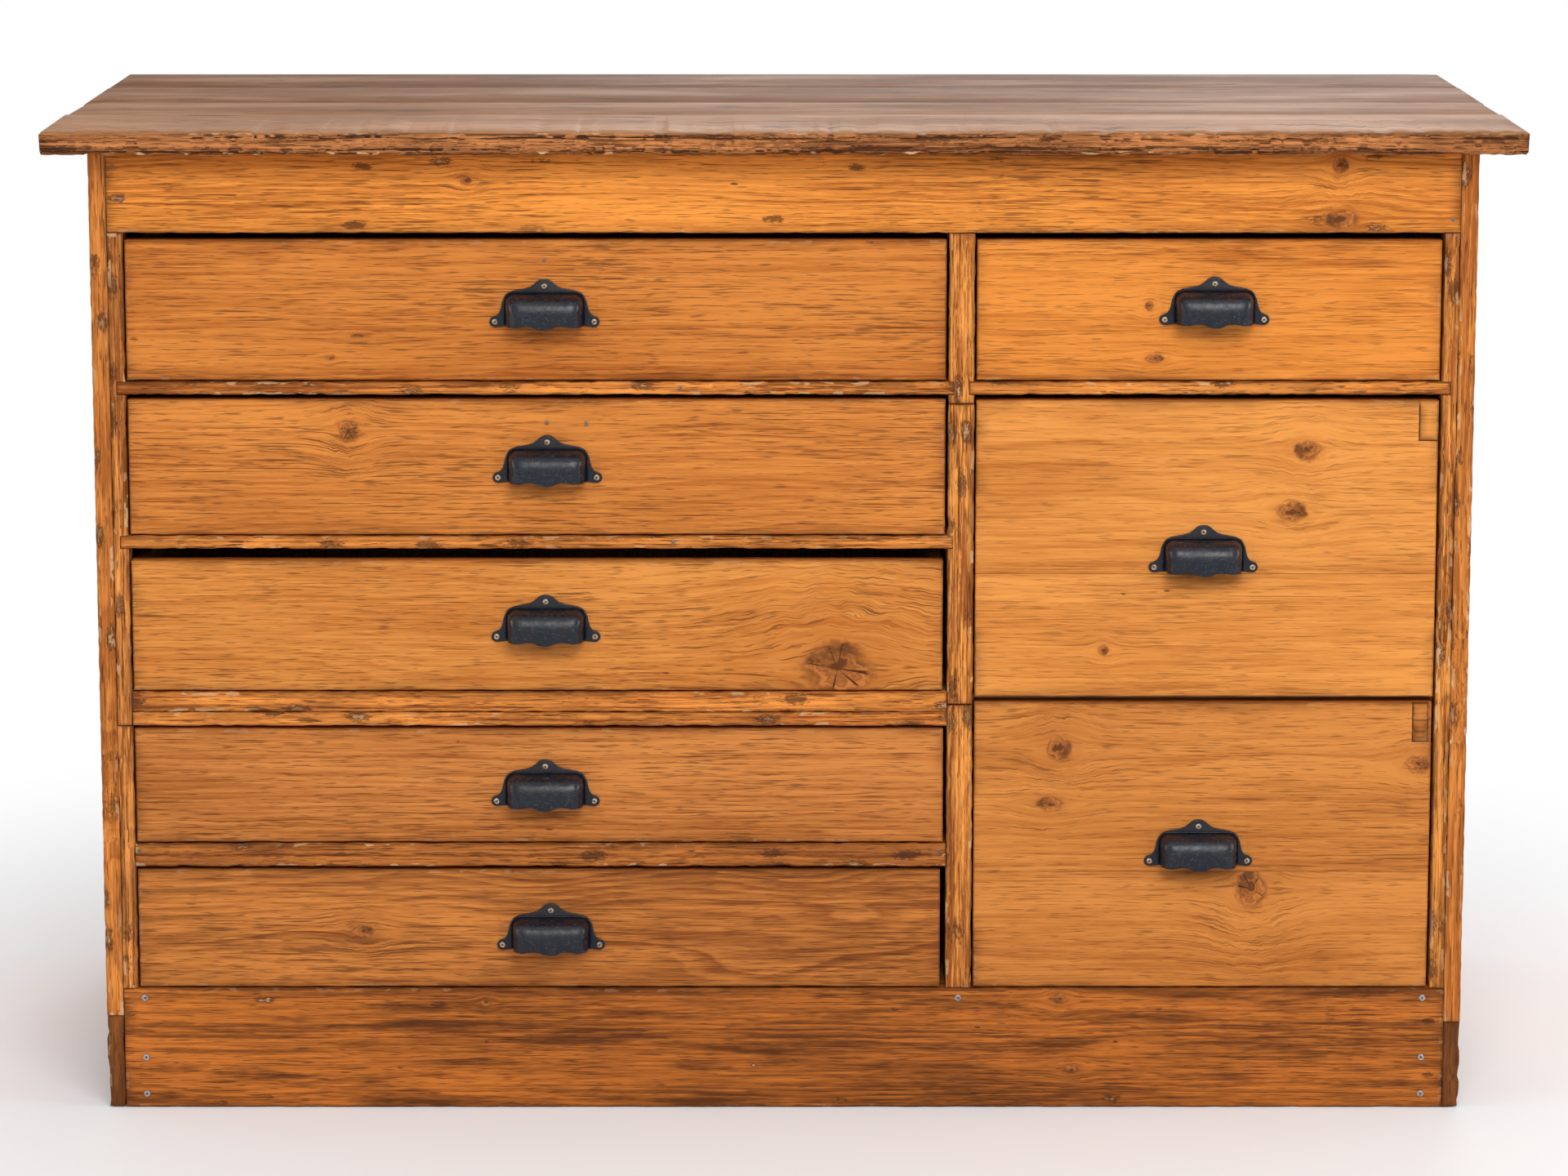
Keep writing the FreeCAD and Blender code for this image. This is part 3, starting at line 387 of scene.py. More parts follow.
def pine(name, piece, axes, seed, light=HONEY, dark=AMBER, dirt=SOOT_AND_SHADOW, pith=(0.03, -0.07), ring=0.0048,
         sway=0.05, figure=1.0, dashes=0.8, nicks=0.0, smears=0.0, grime=0.7, joint=0.0, chips=0.5,
         gouges=0.0, worn_top=0.0, bare_and_sheen=HONEY, stained=AMBER, knots=(), knot_tone=0.1, pull_shadow=None,
         dents=0.5, gloss=0.12):
    """A board's own finish. Axes name its length, its width and its thickness, and each knot is given
    as its middle's X, Y, Z, its length and height, and whether it has split. Knot tone is how near
    its knots come to its own dark. Pull shadow is where a soft shadow is painted, under a pull."""
    finish = bpy.data.materials.new(name)
    tree = new_tree(finish)
    corners = [Vector(c) for c in piece.bound_box]
    low = Vector([min(c[i] for c in corners) for i in range(3)])
    high = Vector([max(c[i] for c in corners) for i in range(3)])
    order = ["XYZ".index(a) for a in axes]
    turned = lambda v: Vector([v[i] for i in order])
    middle, half = (low + high) / 2, turned((high - low) / 2)
    place = step(tree, "VectorMath", step(tree, "TexCoord").outputs["Object"], middle,
                 operation="SUBTRACT").outputs[0]
    parts = step(tree, "SeparateXYZ", place).outputs
    board = step(tree, "CombineXYZ", *(parts[i] for i in order)).outputs[0]
    place = board
    drawn = []
    for i, (centre, length, height, split) in enumerate(knots):
        knot = step(tree, "Group", node_tree=KNOT)
        tree.links.new(place, knot.inputs["Place"])
        knot.inputs["Centre"].default_value = turned(Vector(centre) - middle)
        knot.inputs["Size"].default_value = (length / 2, height / 2, 1)
        knot.inputs["Seed"].default_value = seed + i * 1.7
        knot.inputs["Cracks"].default_value = split
        place = knot.outputs["Place"]
        drawn.append(knot)
    wood = step(tree, "Group", node_tree=SAWN)
    for socket, value in (("Place", place), ("Board", board)):
        tree.links.new(value, wood.inputs[socket])
    given = {"Half": half, "Pith": (0, *pith), "Seed": seed, "Ring": ring, "Sway": sway,
             "Figure": figure, "Dashes": dashes, "Nicks": nicks, "Smears": smears, "Grime": grime,
             "Joint": joint, "Chips": chips, "Gouges": gouges, "Worn top": worn_top, "Light": light,
             "Dark": dark, "Dirt": dirt, "Bare": bare_and_sheen, "Stained": stained}
    for socket, value in given.items():
        wood.inputs[socket].default_value = value
    colour = wood.outputs["Colour"]
    for knot in drawn:
        colour = mix(tree, times(tree, knot.outputs["Halo"], 0.3), colour, dark)
        toned = mix(tree, knot_tone, knot.outputs["Colour"], dark)
        colour = mix(tree, knot.outputs["Mask"], colour, toned)
    # a soft shadow painted in the dirt colour just under the pull, patchy towards its edge
    if pull_shadow:
        away = step(tree, "VectorMath", board, turned(Vector(pull_shadow) - middle),
                    operation="SUBTRACT").outputs[0]
        away = step(tree, "VectorMath", away, (18.0, 70.0, 0.0), operation="MULTIPLY").outputs[0]
        shadow_share = ramp(tree, step(tree, "VectorMath", away, operation="LENGTH").outputs["Value"], 1.0, 0.2)
        patchy = ramp(tree, mottle(tree, board, (30, 60, 60), 2.0), 0.3, 0.6, 0.3, 0.7)
        colour = mix(tree, times(tree, shadow_share, patchy), colour, dirt)
    coat(tree, colour, wood.outputs["Roughness"], wood.outputs["Height"], dents, 0.0006, gloss)
    piece.data.materials.clear()
    piece.data.materials.append(finish)


def take(piece):
    """Selects only this piece, and works on it."""
    bpy.ops.object.select_all(action="DESELECT")
    piece.select_set(True)
    bpy.context.view_layer.objects.active = piece


def boards_of(node):
    """A node's boards with all their joints, each a new piece, sorted by X, then Y, then Z."""
    whole = frame["nodes"][node].copy()
    whole.data = whole.data.copy()
    whole.parent = None
    del whole["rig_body"], whole["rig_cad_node"]
    bpy.context.scene.collection.objects.link(whole)
    take(whole)
    bpy.ops.mesh.customdata_custom_splitnormals_clear()
    bpy.ops.object.mode_set(mode="EDIT")
    bpy.ops.mesh.select_all(action="SELECT")
    bpy.ops.mesh.remove_doubles(threshold=0.00001)
    bpy.ops.mesh.dissolve_limited(angle_limit=radians(1))
    bpy.ops.mesh.separate(type="LOOSE")
    bpy.ops.object.mode_set(mode="OBJECT")
    return sorted(bpy.context.selected_objects, key=lambda piece: limits(piece)[0][:])


def limits(piece):
    """A piece's lowest and highest corners."""
    corners = [Vector(c) for c in piece.bound_box]
    return (Vector([round(min(c[i] for c in corners), 5) for i in range(3)]),
            Vector([round(max(c[i] for c in corners), 5) for i in range(3)]))


def soften(piece, width, sharp, smooth):
    """Rounds off edges sharper than one angle, then shades as smooth those up to another."""
    soft = piece.modifiers.new("soft", "BEVEL")
    soft.width = width
    soft.segments = 2
    soft.limit_method = "ANGLE"
    soft.angle_limit = radians(sharp)
    bpy.ops.object.modifier_apply(modifier="soft")
    bpy.ops.object.shade_smooth_by_angle(angle=radians(smooth))


ARRIS_REACH = 0.0045


def age(piece, along, pitch, depth, size, worn, round_over=0.0005):
    """Cuts across a board at a pitch, then wears the arrises that pass the test in by up to a depth."""
    take(piece)
    low, high = limits(piece)
    axis = "XYZ".index(along)
    direction = Vector([1.0 if i == axis else 0.0 for i in range(3)])
    bpy.ops.object.mode_set(mode="EDIT")
    for i in range(1, int((high[axis] - low[axis]) / pitch)):
        bpy.ops.mesh.select_all(action="SELECT")
        bpy.ops.mesh.bisect(plane_co=low + direction * pitch * i, plane_no=direction)
    bpy.ops.object.mode_set(mode="OBJECT")
    arrises = piece.vertex_groups.new(name="arrises")
    found = [v.index for v in piece.data.vertices if worn(v.co) and sum(
        min(v.co[i] - low[i], high[i] - v.co[i]) < ARRIS_REACH for i in range(3)) > 1]
    arrises.add(found, 1.0, "REPLACE")
    knocks = bpy.data.textures.new(f"{piece.name} knocks", "CLOUDS")
    knocks.noise_scale = size
    knocks.noise_depth = 3
    knocks.contrast = 3.0
    knocks.intensity = 0.75
    knocks.use_clamp = True
    wearing = piece.modifiers.new("wearing", "DISPLACE")
    wearing.texture = knocks
    wearing.texture_coords = "LOCAL"
    wearing.vertex_group = "arrises"
    wearing.mid_level = 0.0
    wearing.strength = -depth
    bpy.ops.object.modifier_apply(modifier="wearing")
    soften(piece, round_over, 25, 35)


def fit(piece, name, body, slot, *nodes):
    """Names a piece, and says what it moves with and the nodes that it stands for. Its finish slot is
    not used.
    """
    piece.name = piece.data.name = name
    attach(piece, body)
    if nodes:
        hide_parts(*nodes)


for side, node in ((-1, "side_panel_left"), (1, "side_panel_right")):
    for i, board in enumerate(boards_of(node)):
        low, high = limits(board)
        age(board, "Z", 0.006, 0.0007, 0.012, lambda co: co.y < FACE + 0.002)
        fit(board, f"{node}_board_{i + 1}", "carcass", "carcass_pine", node)
        across = low.y + (high.y - low.y) * (0.36, 0.62, 0.44)[i]
        up = (0.62, 0.30, 0.74)[i] + 0.05 * side
        pine(board.name, board, "ZYX", 3.1 + i + 5 * side,
             light=paint(236 - 10 * i, 148 - 7 * i, 68 - 4 * i),
             dark=paint(172 - 7 * i, 96 - 5 * i, 38 - 3 * i), pith=(0.12 - 0.07 * i, -0.05 * side),
             ring=0.0035, chips=0.1 if i else 0.6, nicks=0.3 if i else 1.0, grime=0.5,
             figure=1.1 if i else 1.3, dashes=1.0,
             knots=(((0, across, up), 0.026, 0.016, 0),
                    ((0, across - 0.03, up - 0.27), 0.034, 0.022, i % 2)))

# ---------------------------------------------------------------- foot boards and corner blocks
# Under each side board a darker piece is spliced on with its grain upright, standing where damp had
# rotted the old foot. Rough blocks behind it, glued and nailed, hold the plinth's corners.
for i, piece in enumerate(boards_of("foot_blocks")):
    low, high = limits(piece)
    if high.x - low.x < 0.02:
        age(piece, "Z", 0.006, 0.0022, 0.014, lambda co: co.y < FACE + 0.002)
        fit(piece, "foot_board_left" if low.x < 0 else "foot_board_right", "carcass", "foot_pine",
            "foot_blocks")
        pine(piece.name, piece, "ZYX", 40 + i, light=paint(150, 90, 42), dark=paint(92, 52, 25),
             grime=1.0, chips=0.4, nicks=0.6, smears=0.5, figure=1.1, dashes=1.0)
    else:
        fit(piece, f"corner_block_{i}", "carcass", "raw_pine", "foot_blocks")
        pine(piece.name, piece, "ZYX", 50 + i, light=paint(186, 140, 92), dark=paint(140, 96, 58),
             grime=0.4, chips=0.0)

# ---------------------------------------------------------------- plinth
# One deep board between the foot boards, face nailed to the corner blocks. Mops and boots have
# darkened it towards the floor, and its finish has gone banded and blotchy.
plinth, = boards_of("plinth_board")
age(plinth, "X", 0.008, 0.0010, 0.014, lambda co: co.y < FACE + 0.002)
fit(plinth, "plinth", "carcass", "foot_pine", "plinth_board")
pine("plinth", plinth, "XZY", 61.7, light=paint(208, 119, 46), dark=paint(108, 58, 22), ring=0.0055,
     pith=(0.16, -0.06), figure=0.95, dashes=1.0, nicks=0.7, smears=0.9, grime=0.9, chips=0.15,
     knots=(((0.256, FACE, 0.104), 0.012, 0.010, 0), ((-0.277, FACE, 0.100), 0.007, 0.006, 0),
            ((0.268, FACE, 0.036), 0.014, 0.008, 0)))

# ---------------------------------------------------------------- top rail
# The deep board over the drawers, glued between the side boards and nailed at its ends. It hangs in
# the shade of the top, where its finish has kept most of its gold.
upper, = boards_of("top_rail")
age(upper, "X", 0.008, 0.0008, 0.014, lambda co: co.y < FACE + 0.002)
fit(upper, "top_rail_board", "carcass", "carcass_pine", "top_rail")
pine("top rail", upper, "XZY", 23.2, light=paint(246, 156, 66), dark=paint(178, 98, 34), ring=0.005,
     pith=(-0.11, -0.05), chips=0.2, nicks=0.8, grime=0.8,
     knots=(((0.503, FACE, 0.881), 0.014, 0.016, 0), ((0.505, FACE, 0.832), 0.030, 0.018, 0),
            ((-0.287, FACE, 0.867), 0.010, 0.008, 0)))

# ---------------------------------------------------------------- rails between the drawers
# Slips of pine under each drawer. The thin ones are let into the stiles and the thick ones butt
# between them. Drawers dragged over them have worn their arrises round and splintered them.
for i, node in enumerate(("rail_left_1", "rail_left_2", "rail_left_3_upper", "rail_left_3_lower",
                          "rail_left_4", "rail_right_1")):
    slip, = boards_of(node)
    age(slip, "X", 0.006, 0.0012, 0.012, lambda co: co.y < FACE + 0.002)
    fit(slip, node + "_slip", "carcass", "carcass_pine", node)
    light, dark = paint(250, 158, 72), paint(160, 82, 30)
    if node == "rail_left_4":
        light, dark = paint(206, 124, 56), paint(130, 70, 28)
    pine(slip.name, slip, "XZY", 70.3 + i * 2, light=light, dark=dark, pith=(0.05, -0.03), ring=0.0042,
         chips=0.5, nicks=1.0, smears=0.35, grime=0.75, figure=1.15, dashes=1.0)

# ---------------------------------------------------------------- stiles
# A narrow strip inside each side board, and a wider centre stile in three lengths, all notched for the
# thin rails. Old glue, soot and wax fill the joints beside them.
FAR_LEFT = -0.5
for node in ("side_stiles", "centre_stile"):
    for i, strip in enumerate(boards_of(node)):
        age(strip, "Z", 0.006, 0.0013, 0.012, lambda co: co.y < FACE + 0.002)
        fit(strip, f"{node}_length_{i + 1}", "carcass", "carcass_pine", node)
        light, dark = paint(255, 168, 80), paint(158, 86, 34)
        # strips at the far left get a darker copy of the same colours: partly the wood's own tone,
        # partly painted shade on the cabinet's left side
        if limits(strip)[0].x <= FAR_LEFT:
            light, dark = paint(246, 158, 78), paint(152, 84, 34)
        pine(strip.name, strip, "ZXY", 90.9 + i * 3 + len(node), light=light, dark=dark,
             pith=(0.04, -0.03), ring=0.004, chips=0.6, nicks=1.0, grime=0.85, figure=1.6, dashes=1.0)

# ---------------------------------------------------------------- inside the carcass
# Unfinished boards that only show with a drawer out: the partition between the bays, the bottom,
# the rail behind the deep drawers, and the runners.
for i, (node, axes) in enumerate((("centre_partition", "YZX"), ("bottom_boards", "XYZ"),
                                  ("rail_right_2", "XZY"), ("drawer_runners", "YZX"))):
    pine("raw " + node, frame["nodes"][node], axes, 120 + i * 4.2, light=paint(196, 152, 104),
         dark=paint(150, 106, 66), dirt=paint(84, 58, 38), grime=0.3, chips=0.0, dents=0.3)

# ---------------------------------------------------------------- back
# Tongued and grooved pine boards, never finished, let into a rebate in the sides and nailed. Dust and
# age have browned them unevenly.
BROWNING = (0, 9, 4, 14, 7)
for i, board in enumerate(boards_of("back_boards")):
    low, high = limits(board)
    age(board, "Z", 0.05, 0.0004, 0.02, lambda co: co.y > high.y - 0.001, 0.0008)
    fit(board, f"back_board_{i + 1}", "carcass", "raw_pine", "back_boards")
    tone = BROWNING[i % len(BROWNING)]
    across, up = (low.x + high.x) / 2, 0.16 + 0.61 * (i * 0.39 % 1)
    pine(board.name, board, "ZXY", 200 + i * 3.7, light=paint(204 - tone, 156 - tone, 104 - tone),
         dark=paint(150 - tone, 102 - tone, 60 - tone), dirt=paint(80, 54, 34), ring=0.0055,
         pith=(0.05 * sin(i * 2.3), 0.05), sway=0.08, grime=0.7, chips=0.1, dashes=1.0, nicks=0.3,
         dents=0.4, knot_tone=0.45,
         knots=(((across + 0.022 * sin(i * 1.7), 0, up), 0.030, 0.020, i % 2),
                ((across + 0.03 * cos(i * 2.9), 0, 0.9 - up), 0.018, 0.012, 0)))

# ---------------------------------------------------------------- top
# Four long boards butted edge to edge and nailed down. Work has scrubbed their faces to a bare grey
# brown, and rounded and gouged the front edge. A painted sheen is mixed into that grey, lightest on the
# front board and darker board by board to the back. Their ends have moved, so they no longer line up.
for i, board in enumerate(sorted(boards_of("top_boards"), key=lambda piece: limits(piece)[0].y)):
    low, high = limits(board)
    age(board, "X", 0.005 if i == 0 else 0.02, 0.0024, 0.012,
        lambda co: (i == 0 and co.y < low.y + 0.006) or abs(co.x) > high.x - 0.004,
        0.0001 if i else 0.0006)
    fit(board, f"top_board_{i + 1}", "carcass", "worn_top_pine", "top_boards")
    # the bare face's colours step down from the front board to the back one: painted sheen, lightest at
    # the front
    pine(board.name, board, "XYZ", 140.5 + i * 6, light=paint(212, 136, 80), dark=paint(88, 47, 26),
         dirt=paint(54, 32, 20), pith=(0.07 - 0.05 * i, -0.04), ring=0.006, chips=1.0,
         grime=0.12 if i else 0.8, joint=0.0 if i else 1.0, gouges=0.15 if i else 1.0, worn_top=1.0,
         dashes=1.0, nicks=0.5, figure=1.15, bare_and_sheen=paint(182 - 18 * i, 130 - 16 * i, 90 - 14 * i),
         stained=paint(120 - 13 * i, 79 - 11 * i, 50 - 9 * i), gloss=0.03)

# ---------------------------------------------------------------- drawer boxes
# Sides and back of thin unfinished pine, dovetailed to each other and to the front. The bottom is
# bevelled to fit the grooves in the sides and the front, and slides in from behind, under the back.
drawers = [body for body in frame["bodies"] if body.startswith("drawer_")]
for i, drawer in enumerate(drawers):
    for part, axes in (("box", "YZX"), ("bottom", "XYZ")):
        pine(f"raw {drawer} {part}", frame["nodes"][f"{drawer}_{part}"], axes, 160 + i * 3.3,
             light=paint(206, 164, 116), dark=paint(164, 120, 78), dirt=paint(90, 62, 40), grime=0.3,
             chips=0.0, dents=0.3)

# ---------------------------------------------------------------- drawer fronts
# Each shallow front is one pine board and each deep one two, glued edge to edge, with a corner patched
# where it once split. All were shellacked and waxed, and have gone the colour of honey.
FRONTS = {
    "drawer_left_1": dict(pith=(0.12, -0.06), ring=0.0055, knots=(
        ((-0.385, FACE, 0.725), 0.018, 0.004, 0), ((-0.412, FACE, 0.705), 0.007, 0.004, 0))),
    "drawer_left_2": dict(pith=(-0.15, -0.05), ring=0.0052, light=paint(222, 139, 63),
                          dark=paint(176, 98, 37), knots=(((-0.3965, FACE, 0.6385), 0.018, 0.019, 1),)),
    "drawer_left_3": dict(pith=(-0.10, -0.08), ring=0.0065, light=paint(226, 148, 70),
                          dark=paint(182, 102, 38), knots=(((0.0495, FACE, 0.4165), 0.062, 0.046, 1),)),
    "drawer_left_4": dict(pith=(0.10, -0.05), ring=0.0052, light=paint(212, 134, 66),
                          dark=paint(162, 90, 36)),
    "drawer_left_5": dict(pith=(-0.055, -0.035), ring=0.007, light=paint(210, 130, 60),
                          dark=paint(138, 75, 30), figure=1.15, sway=0.12, smears=0.35,
                          knots=(((-0.39, FACE, 0.168), 0.020, 0.012, 0),)),
    "drawer_right_1": dict(pith=(0.02, -0.05), ring=0.0075, dashes=0.6, light=paint(232, 144, 60),
                           dark=paint(184, 100, 32), knots=(((0.332, FACE, 0.7525), 0.008, 0.008, 0),
                                                            ((0.338, FACE, 0.704), 0.018, 0.008, 0))),
    "drawer_right_2": dict(pith=(0.03, -0.05), ring=0.0075, light=paint(233, 153, 73),
                           dark=paint(188, 108, 42), figure=0.8, dashes=0.5,
                           knots=(((0.478, FACE, 0.6195), 0.024, 0.018, 0),
                                  ((0.465, FACE, 0.5635), 0.028, 0.018, 0))),
    "drawer_right_3": dict(pith=(0.09, -0.06), ring=0.008, light=paint(216, 138, 65),
                           dark=paint(172, 98, 38), figure=0.85, dashes=0.65,
                           knots=(((0.254, FACE, 0.3416), 0.024, 0.022, 0),
                                  ((0.2455, FACE, 0.2914), 0.024, 0.015, 0),
                                  ((0.585, FACE, 0.3266), 0.022, 0.016, 0))),
}
LOWER_KNOTS = {"drawer_right_2": (((0.2936, FACE, 0.434), 0.009, 0.009, 0),),
               "drawer_right_3": (((0.433, FACE, 0.209), 0.028, 0.036, 1),)}
PATCH = Vector((0.018, 0.004, 0.037))
HAIR = 0.00005
for i, (drawer, looks) in enumerate(FRONTS.items()):
    node = f"{drawer}_front"
    boards = boards_of(node)
    if drawer in LOWER_KNOTS:
        low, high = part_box(node)
        seat = Vector((high.x - PATCH.x, low.y + PATCH.y, high.z - PATCH.z))
        upper = max(boards, key=lambda piece: limits(piece)[1].y + limits(piece)[1].z)
        take(upper)
        bpy.ops.object.mode_set(mode="EDIT")
        mesh = bmesh.from_edit_mesh(upper.data)
        for face in mesh.faces:
            face.select_set(all(v.co.x > seat.x - HAIR and v.co.y < seat.y + HAIR
                                and v.co.z > seat.z - HAIR for v in face.verts))
        bmesh.update_edit_mesh(upper.data)
        if any(face.select for face in mesh.faces):
            bpy.ops.mesh.separate(type="SELECTED")
        bpy.ops.object.mode_set(mode="OBJECT")
        boards = sorted({*boards, *bpy.context.selected_objects}, key=lambda piece: limits(piece)[0].z)
    for n, board in enumerate(boards):
        low, high = limits(board)
        if high.x - low.x < 0.02:
            name, looks = f"{drawer}_patch", {**looks, "knots": (), "grime": 1.0, "joint": 0.0}
        elif n == 0 and drawer in LOWER_KNOTS:
            name, looks = f"{drawer}_lower_board", {**looks, "knots": LOWER_KNOTS[drawer], "joint": 1.0}
        else:
            name, looks = f"{drawer}_board", {**looks, "knots": FRONTS[drawer].get("knots", ()),
                                              "joint": -1.0 if n else 0.0}
        glued = {1.0: high.z, -1.0: low.z, 0.0: 0.0}[looks["joint"]]
        age(board, "X", 0.010, 0.0006, 0.014,
            lambda co: co.y < FACE + 0.003 and abs(co.z - glued) > 0.001,
            0.00015 if drawer in LOWER_KNOTS else 0.0005)
        fit(board, name, drawer, "front_pine", node)
        # under each pull a soft shadow is painted into the front's colour
        pull_low, pull_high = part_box(f"{drawer}_pull")
        pine(name, board, "XZY", 11.3 + i * 4.7 + n * 1.9,
             pull_shadow=((pull_low.x + pull_high.x) / 2, FACE, pull_low.z - 0.004),
             **{"chips": 0.15, "nicks": 0.2, **looks})

# ---------------------------------------------------------------- cup pulls
# Cast iron cup pulls, black with japan that handling has thinned to a blue and brown sheen, with more
# brown painted towards the top of the cup as a reflection of the wood above. A flat fretted plate with
# three eyes lies on the wood, and the cup stands out from it to a pointed lip.
HALF_PLATE = ((0.0, 39.0), (3.2, 38.6), (6.0, 37.2), (9.2, 34.4), (12.6, 31.9), (17.0, 30.4),
              (23.5, 29.3), (29.0, 28.2), (33.2, 26.2), (36.4, 23.0), (38.4, 18.6), (39.4, 13.6),
              (40.6, 9.4), (42.6, 6.4), (45.6, 4.9), (48.2, 3.9), (49.8, 1.6), (50.1, -0.9),
              (48.9, -3.4), (46.6, -4.8), (44.0, -5.1), (40.0, -4.6), (33.6, -4.2), (33.6, 17.0),
              (32.2, 21.4), (28.6, 24.2), (23.0, 24.9), (0.0, 24.9))
CUP_RINGS = ((1.6, 37.6, 27.7), (2.8, 37.3, 27.4), (3.2, 36.8, 26.9), (2.9, 36.2, 26.4),
             (2.5, 35.8, 26.0), (3.4, 35.4, 25.6), (7.0, 35.0, 25.0), (11.5, 34.4, 24.0),
             (15.5, 33.2, 22.2), (18.6, 31.3, 19.4), (20.9, 28.9, 15.6), (22.3, 26.6, 11.4),
             (22.9, 24.9, 7.6))
LIP, BEND = 3.4, 9
NOSE = -0.02295
EAR_RISE = 0.0055


def drawn_along(points):
    """A single corner, drawn out along the points, which are in millimetres across and up."""
    bpy.ops.object.select_all(action="DESELECT")
    bpy.ops.mesh.primitive_plane_add(size=0.001, location=(points[0][0] / 1000, 0, points[0][1] / 1000))
    bpy.ops.object.transform_apply(location=True, rotation=True, scale=True)
    bpy.ops.object.mode_set(mode="EDIT")
    bpy.ops.mesh.merge(type="CENTER")
    for (x, z), (next_x, next_z) in zip(points, points[1:]):
        bpy.ops.mesh.extrude_region_move(
            TRANSFORM_OT_translate={"value": ((next_x - x) / 1000, 0, (next_z - z) / 1000)})
    bpy.ops.mesh.select_all(action="SELECT")
    return bpy.context.object


def picked(piece, wanted, kind="edges"):
    """Selects only the edges, faces or corners of the piece in edit mode that pass the test."""
    mesh = bmesh.from_edit_mesh(piece.data)
    bpy.ops.mesh.select_mode(type={"edges": "EDGE", "faces": "FACE", "verts": "VERT"}[kind])
    bpy.ops.mesh.select_all(action="DESELECT")
    for part in getattr(mesh, kind):
        part.select_set(bool(wanted(part)))
    bmesh.update_edit_mesh(piece.data)


# the plate: half its outline, filled, mirrored and thickened
plate = drawn_along(HALF_PLATE)
bpy.ops.mesh.edge_face_add()
bpy.ops.object.mode_set(mode="OBJECT")
both = plate.modifiers.new("both halves", "MIRROR")
both.use_clip = True
both.merge_threshold = 0.0001
bpy.ops.object.modifier_apply(modifier="both halves")
bpy.ops.object.mode_set(mode="EDIT")
bpy.ops.mesh.select_all(action="SELECT")
bpy.ops.mesh.dissolve_limited(angle_limit=radians(0.5))
bpy.ops.mesh.extrude_region_move(TRANSFORM_OT_translate={"value": (0, -0.002, 0)})
bpy.ops.mesh.select_all(action="SELECT")
bpy.ops.mesh.normals_make_consistent(inside=False)
bpy.ops.object.mode_set(mode="OBJECT")
take(plate)
soften(plate, 0.0006, 30, 50)

# the cup: an arch drawn forward ring by ring to its nose, brought down to a straight lip, dipped and
# hollowed; a ring is how far out it is, half its width and its height
first, half, top = CUP_RINGS[0]
arch = [(-half, -LIP + i * (top - BEND + LIP) / 8) for i in range(8)]
arch += [(BEND - half - BEND * cos(radians(15 * i)), top - BEND + BEND * sin(radians(15 * i)))
         for i in range(7)]
arch += [(BEND - half + i * (half - BEND) / 10, top) for i in range(1, 11)]
arch += [(-x, z) for x, z in arch[-2::-1]]
cup = drawn_along(arch)
bpy.ops.transform.translate(value=(0, -first / 1000, 0))
for (out, half, top), (next_out, next_half, next_top) in zip(CUP_RINGS, CUP_RINGS[1:]):
    bpy.ops.mesh.extrude_region_move(TRANSFORM_OT_translate={"value": (0, (out - next_out) / 1000, 0)})
    bpy.ops.transform.resize(value=(next_half / half, 1, (next_top + LIP) / (top + LIP)),
                             center_override=(0, 0, -LIP / 1000))
bpy.ops.mesh.extrude_region_move(TRANSFORM_OT_translate={"value": (0, -0.0001, 0)})
bpy.ops.transform.resize(value=(1, 1, 0), center_override=(0, 0, -LIP / 1000))
for x in sorted({round(abs(v.co.x) * 1000, 2) for v in bmesh.from_edit_mesh(cup.data).verts
                 if v.co.y < NOSE}):
    curl = 1.3 * cos(pi / 2 * min(1.0, abs(x - 15.5) / 9.5))
    point = 2.0 * max(0.0, cos(pi / 2 * min(1.0, x / 11.0))) ** 1.3
    picked(cup, lambda v: v.co.y < NOSE and abs(abs(v.co.x) * 1000 - x) < 0.1, "verts")
    bpy.ops.transform.translate(value=(0, 0, (curl - point) / 1000))
bpy.ops.mesh.select_mode(type="VERT")
bpy.ops.mesh.select_all(action="SELECT")
bpy.ops.mesh.remove_doubles(threshold=0.00003)
bpy.ops.mesh.dissolve_degenerate(threshold=0.00002)
bpy.ops.mesh.normals_make_consistent(inside=False)
mesh = bmesh.from_edit_mesh(cup.data)
if min(mesh.faces, key=lambda face: face.calc_center_median().y).normal.y > 0:
    bpy.ops.mesh.flip_normals()
bpy.ops.object.mode_set(mode="OBJECT")
hollow = cup.modifiers.new("hollow", "SOLIDIFY")
hollow.thickness = 0.0018
hollow.offset = -1
bpy.ops.object.modifier_apply(modifier="hollow")
take(cup)
soften(cup, 0.0005, 55, 50)
take(plate)
cup.select_set(True)
bpy.ops.object.join()


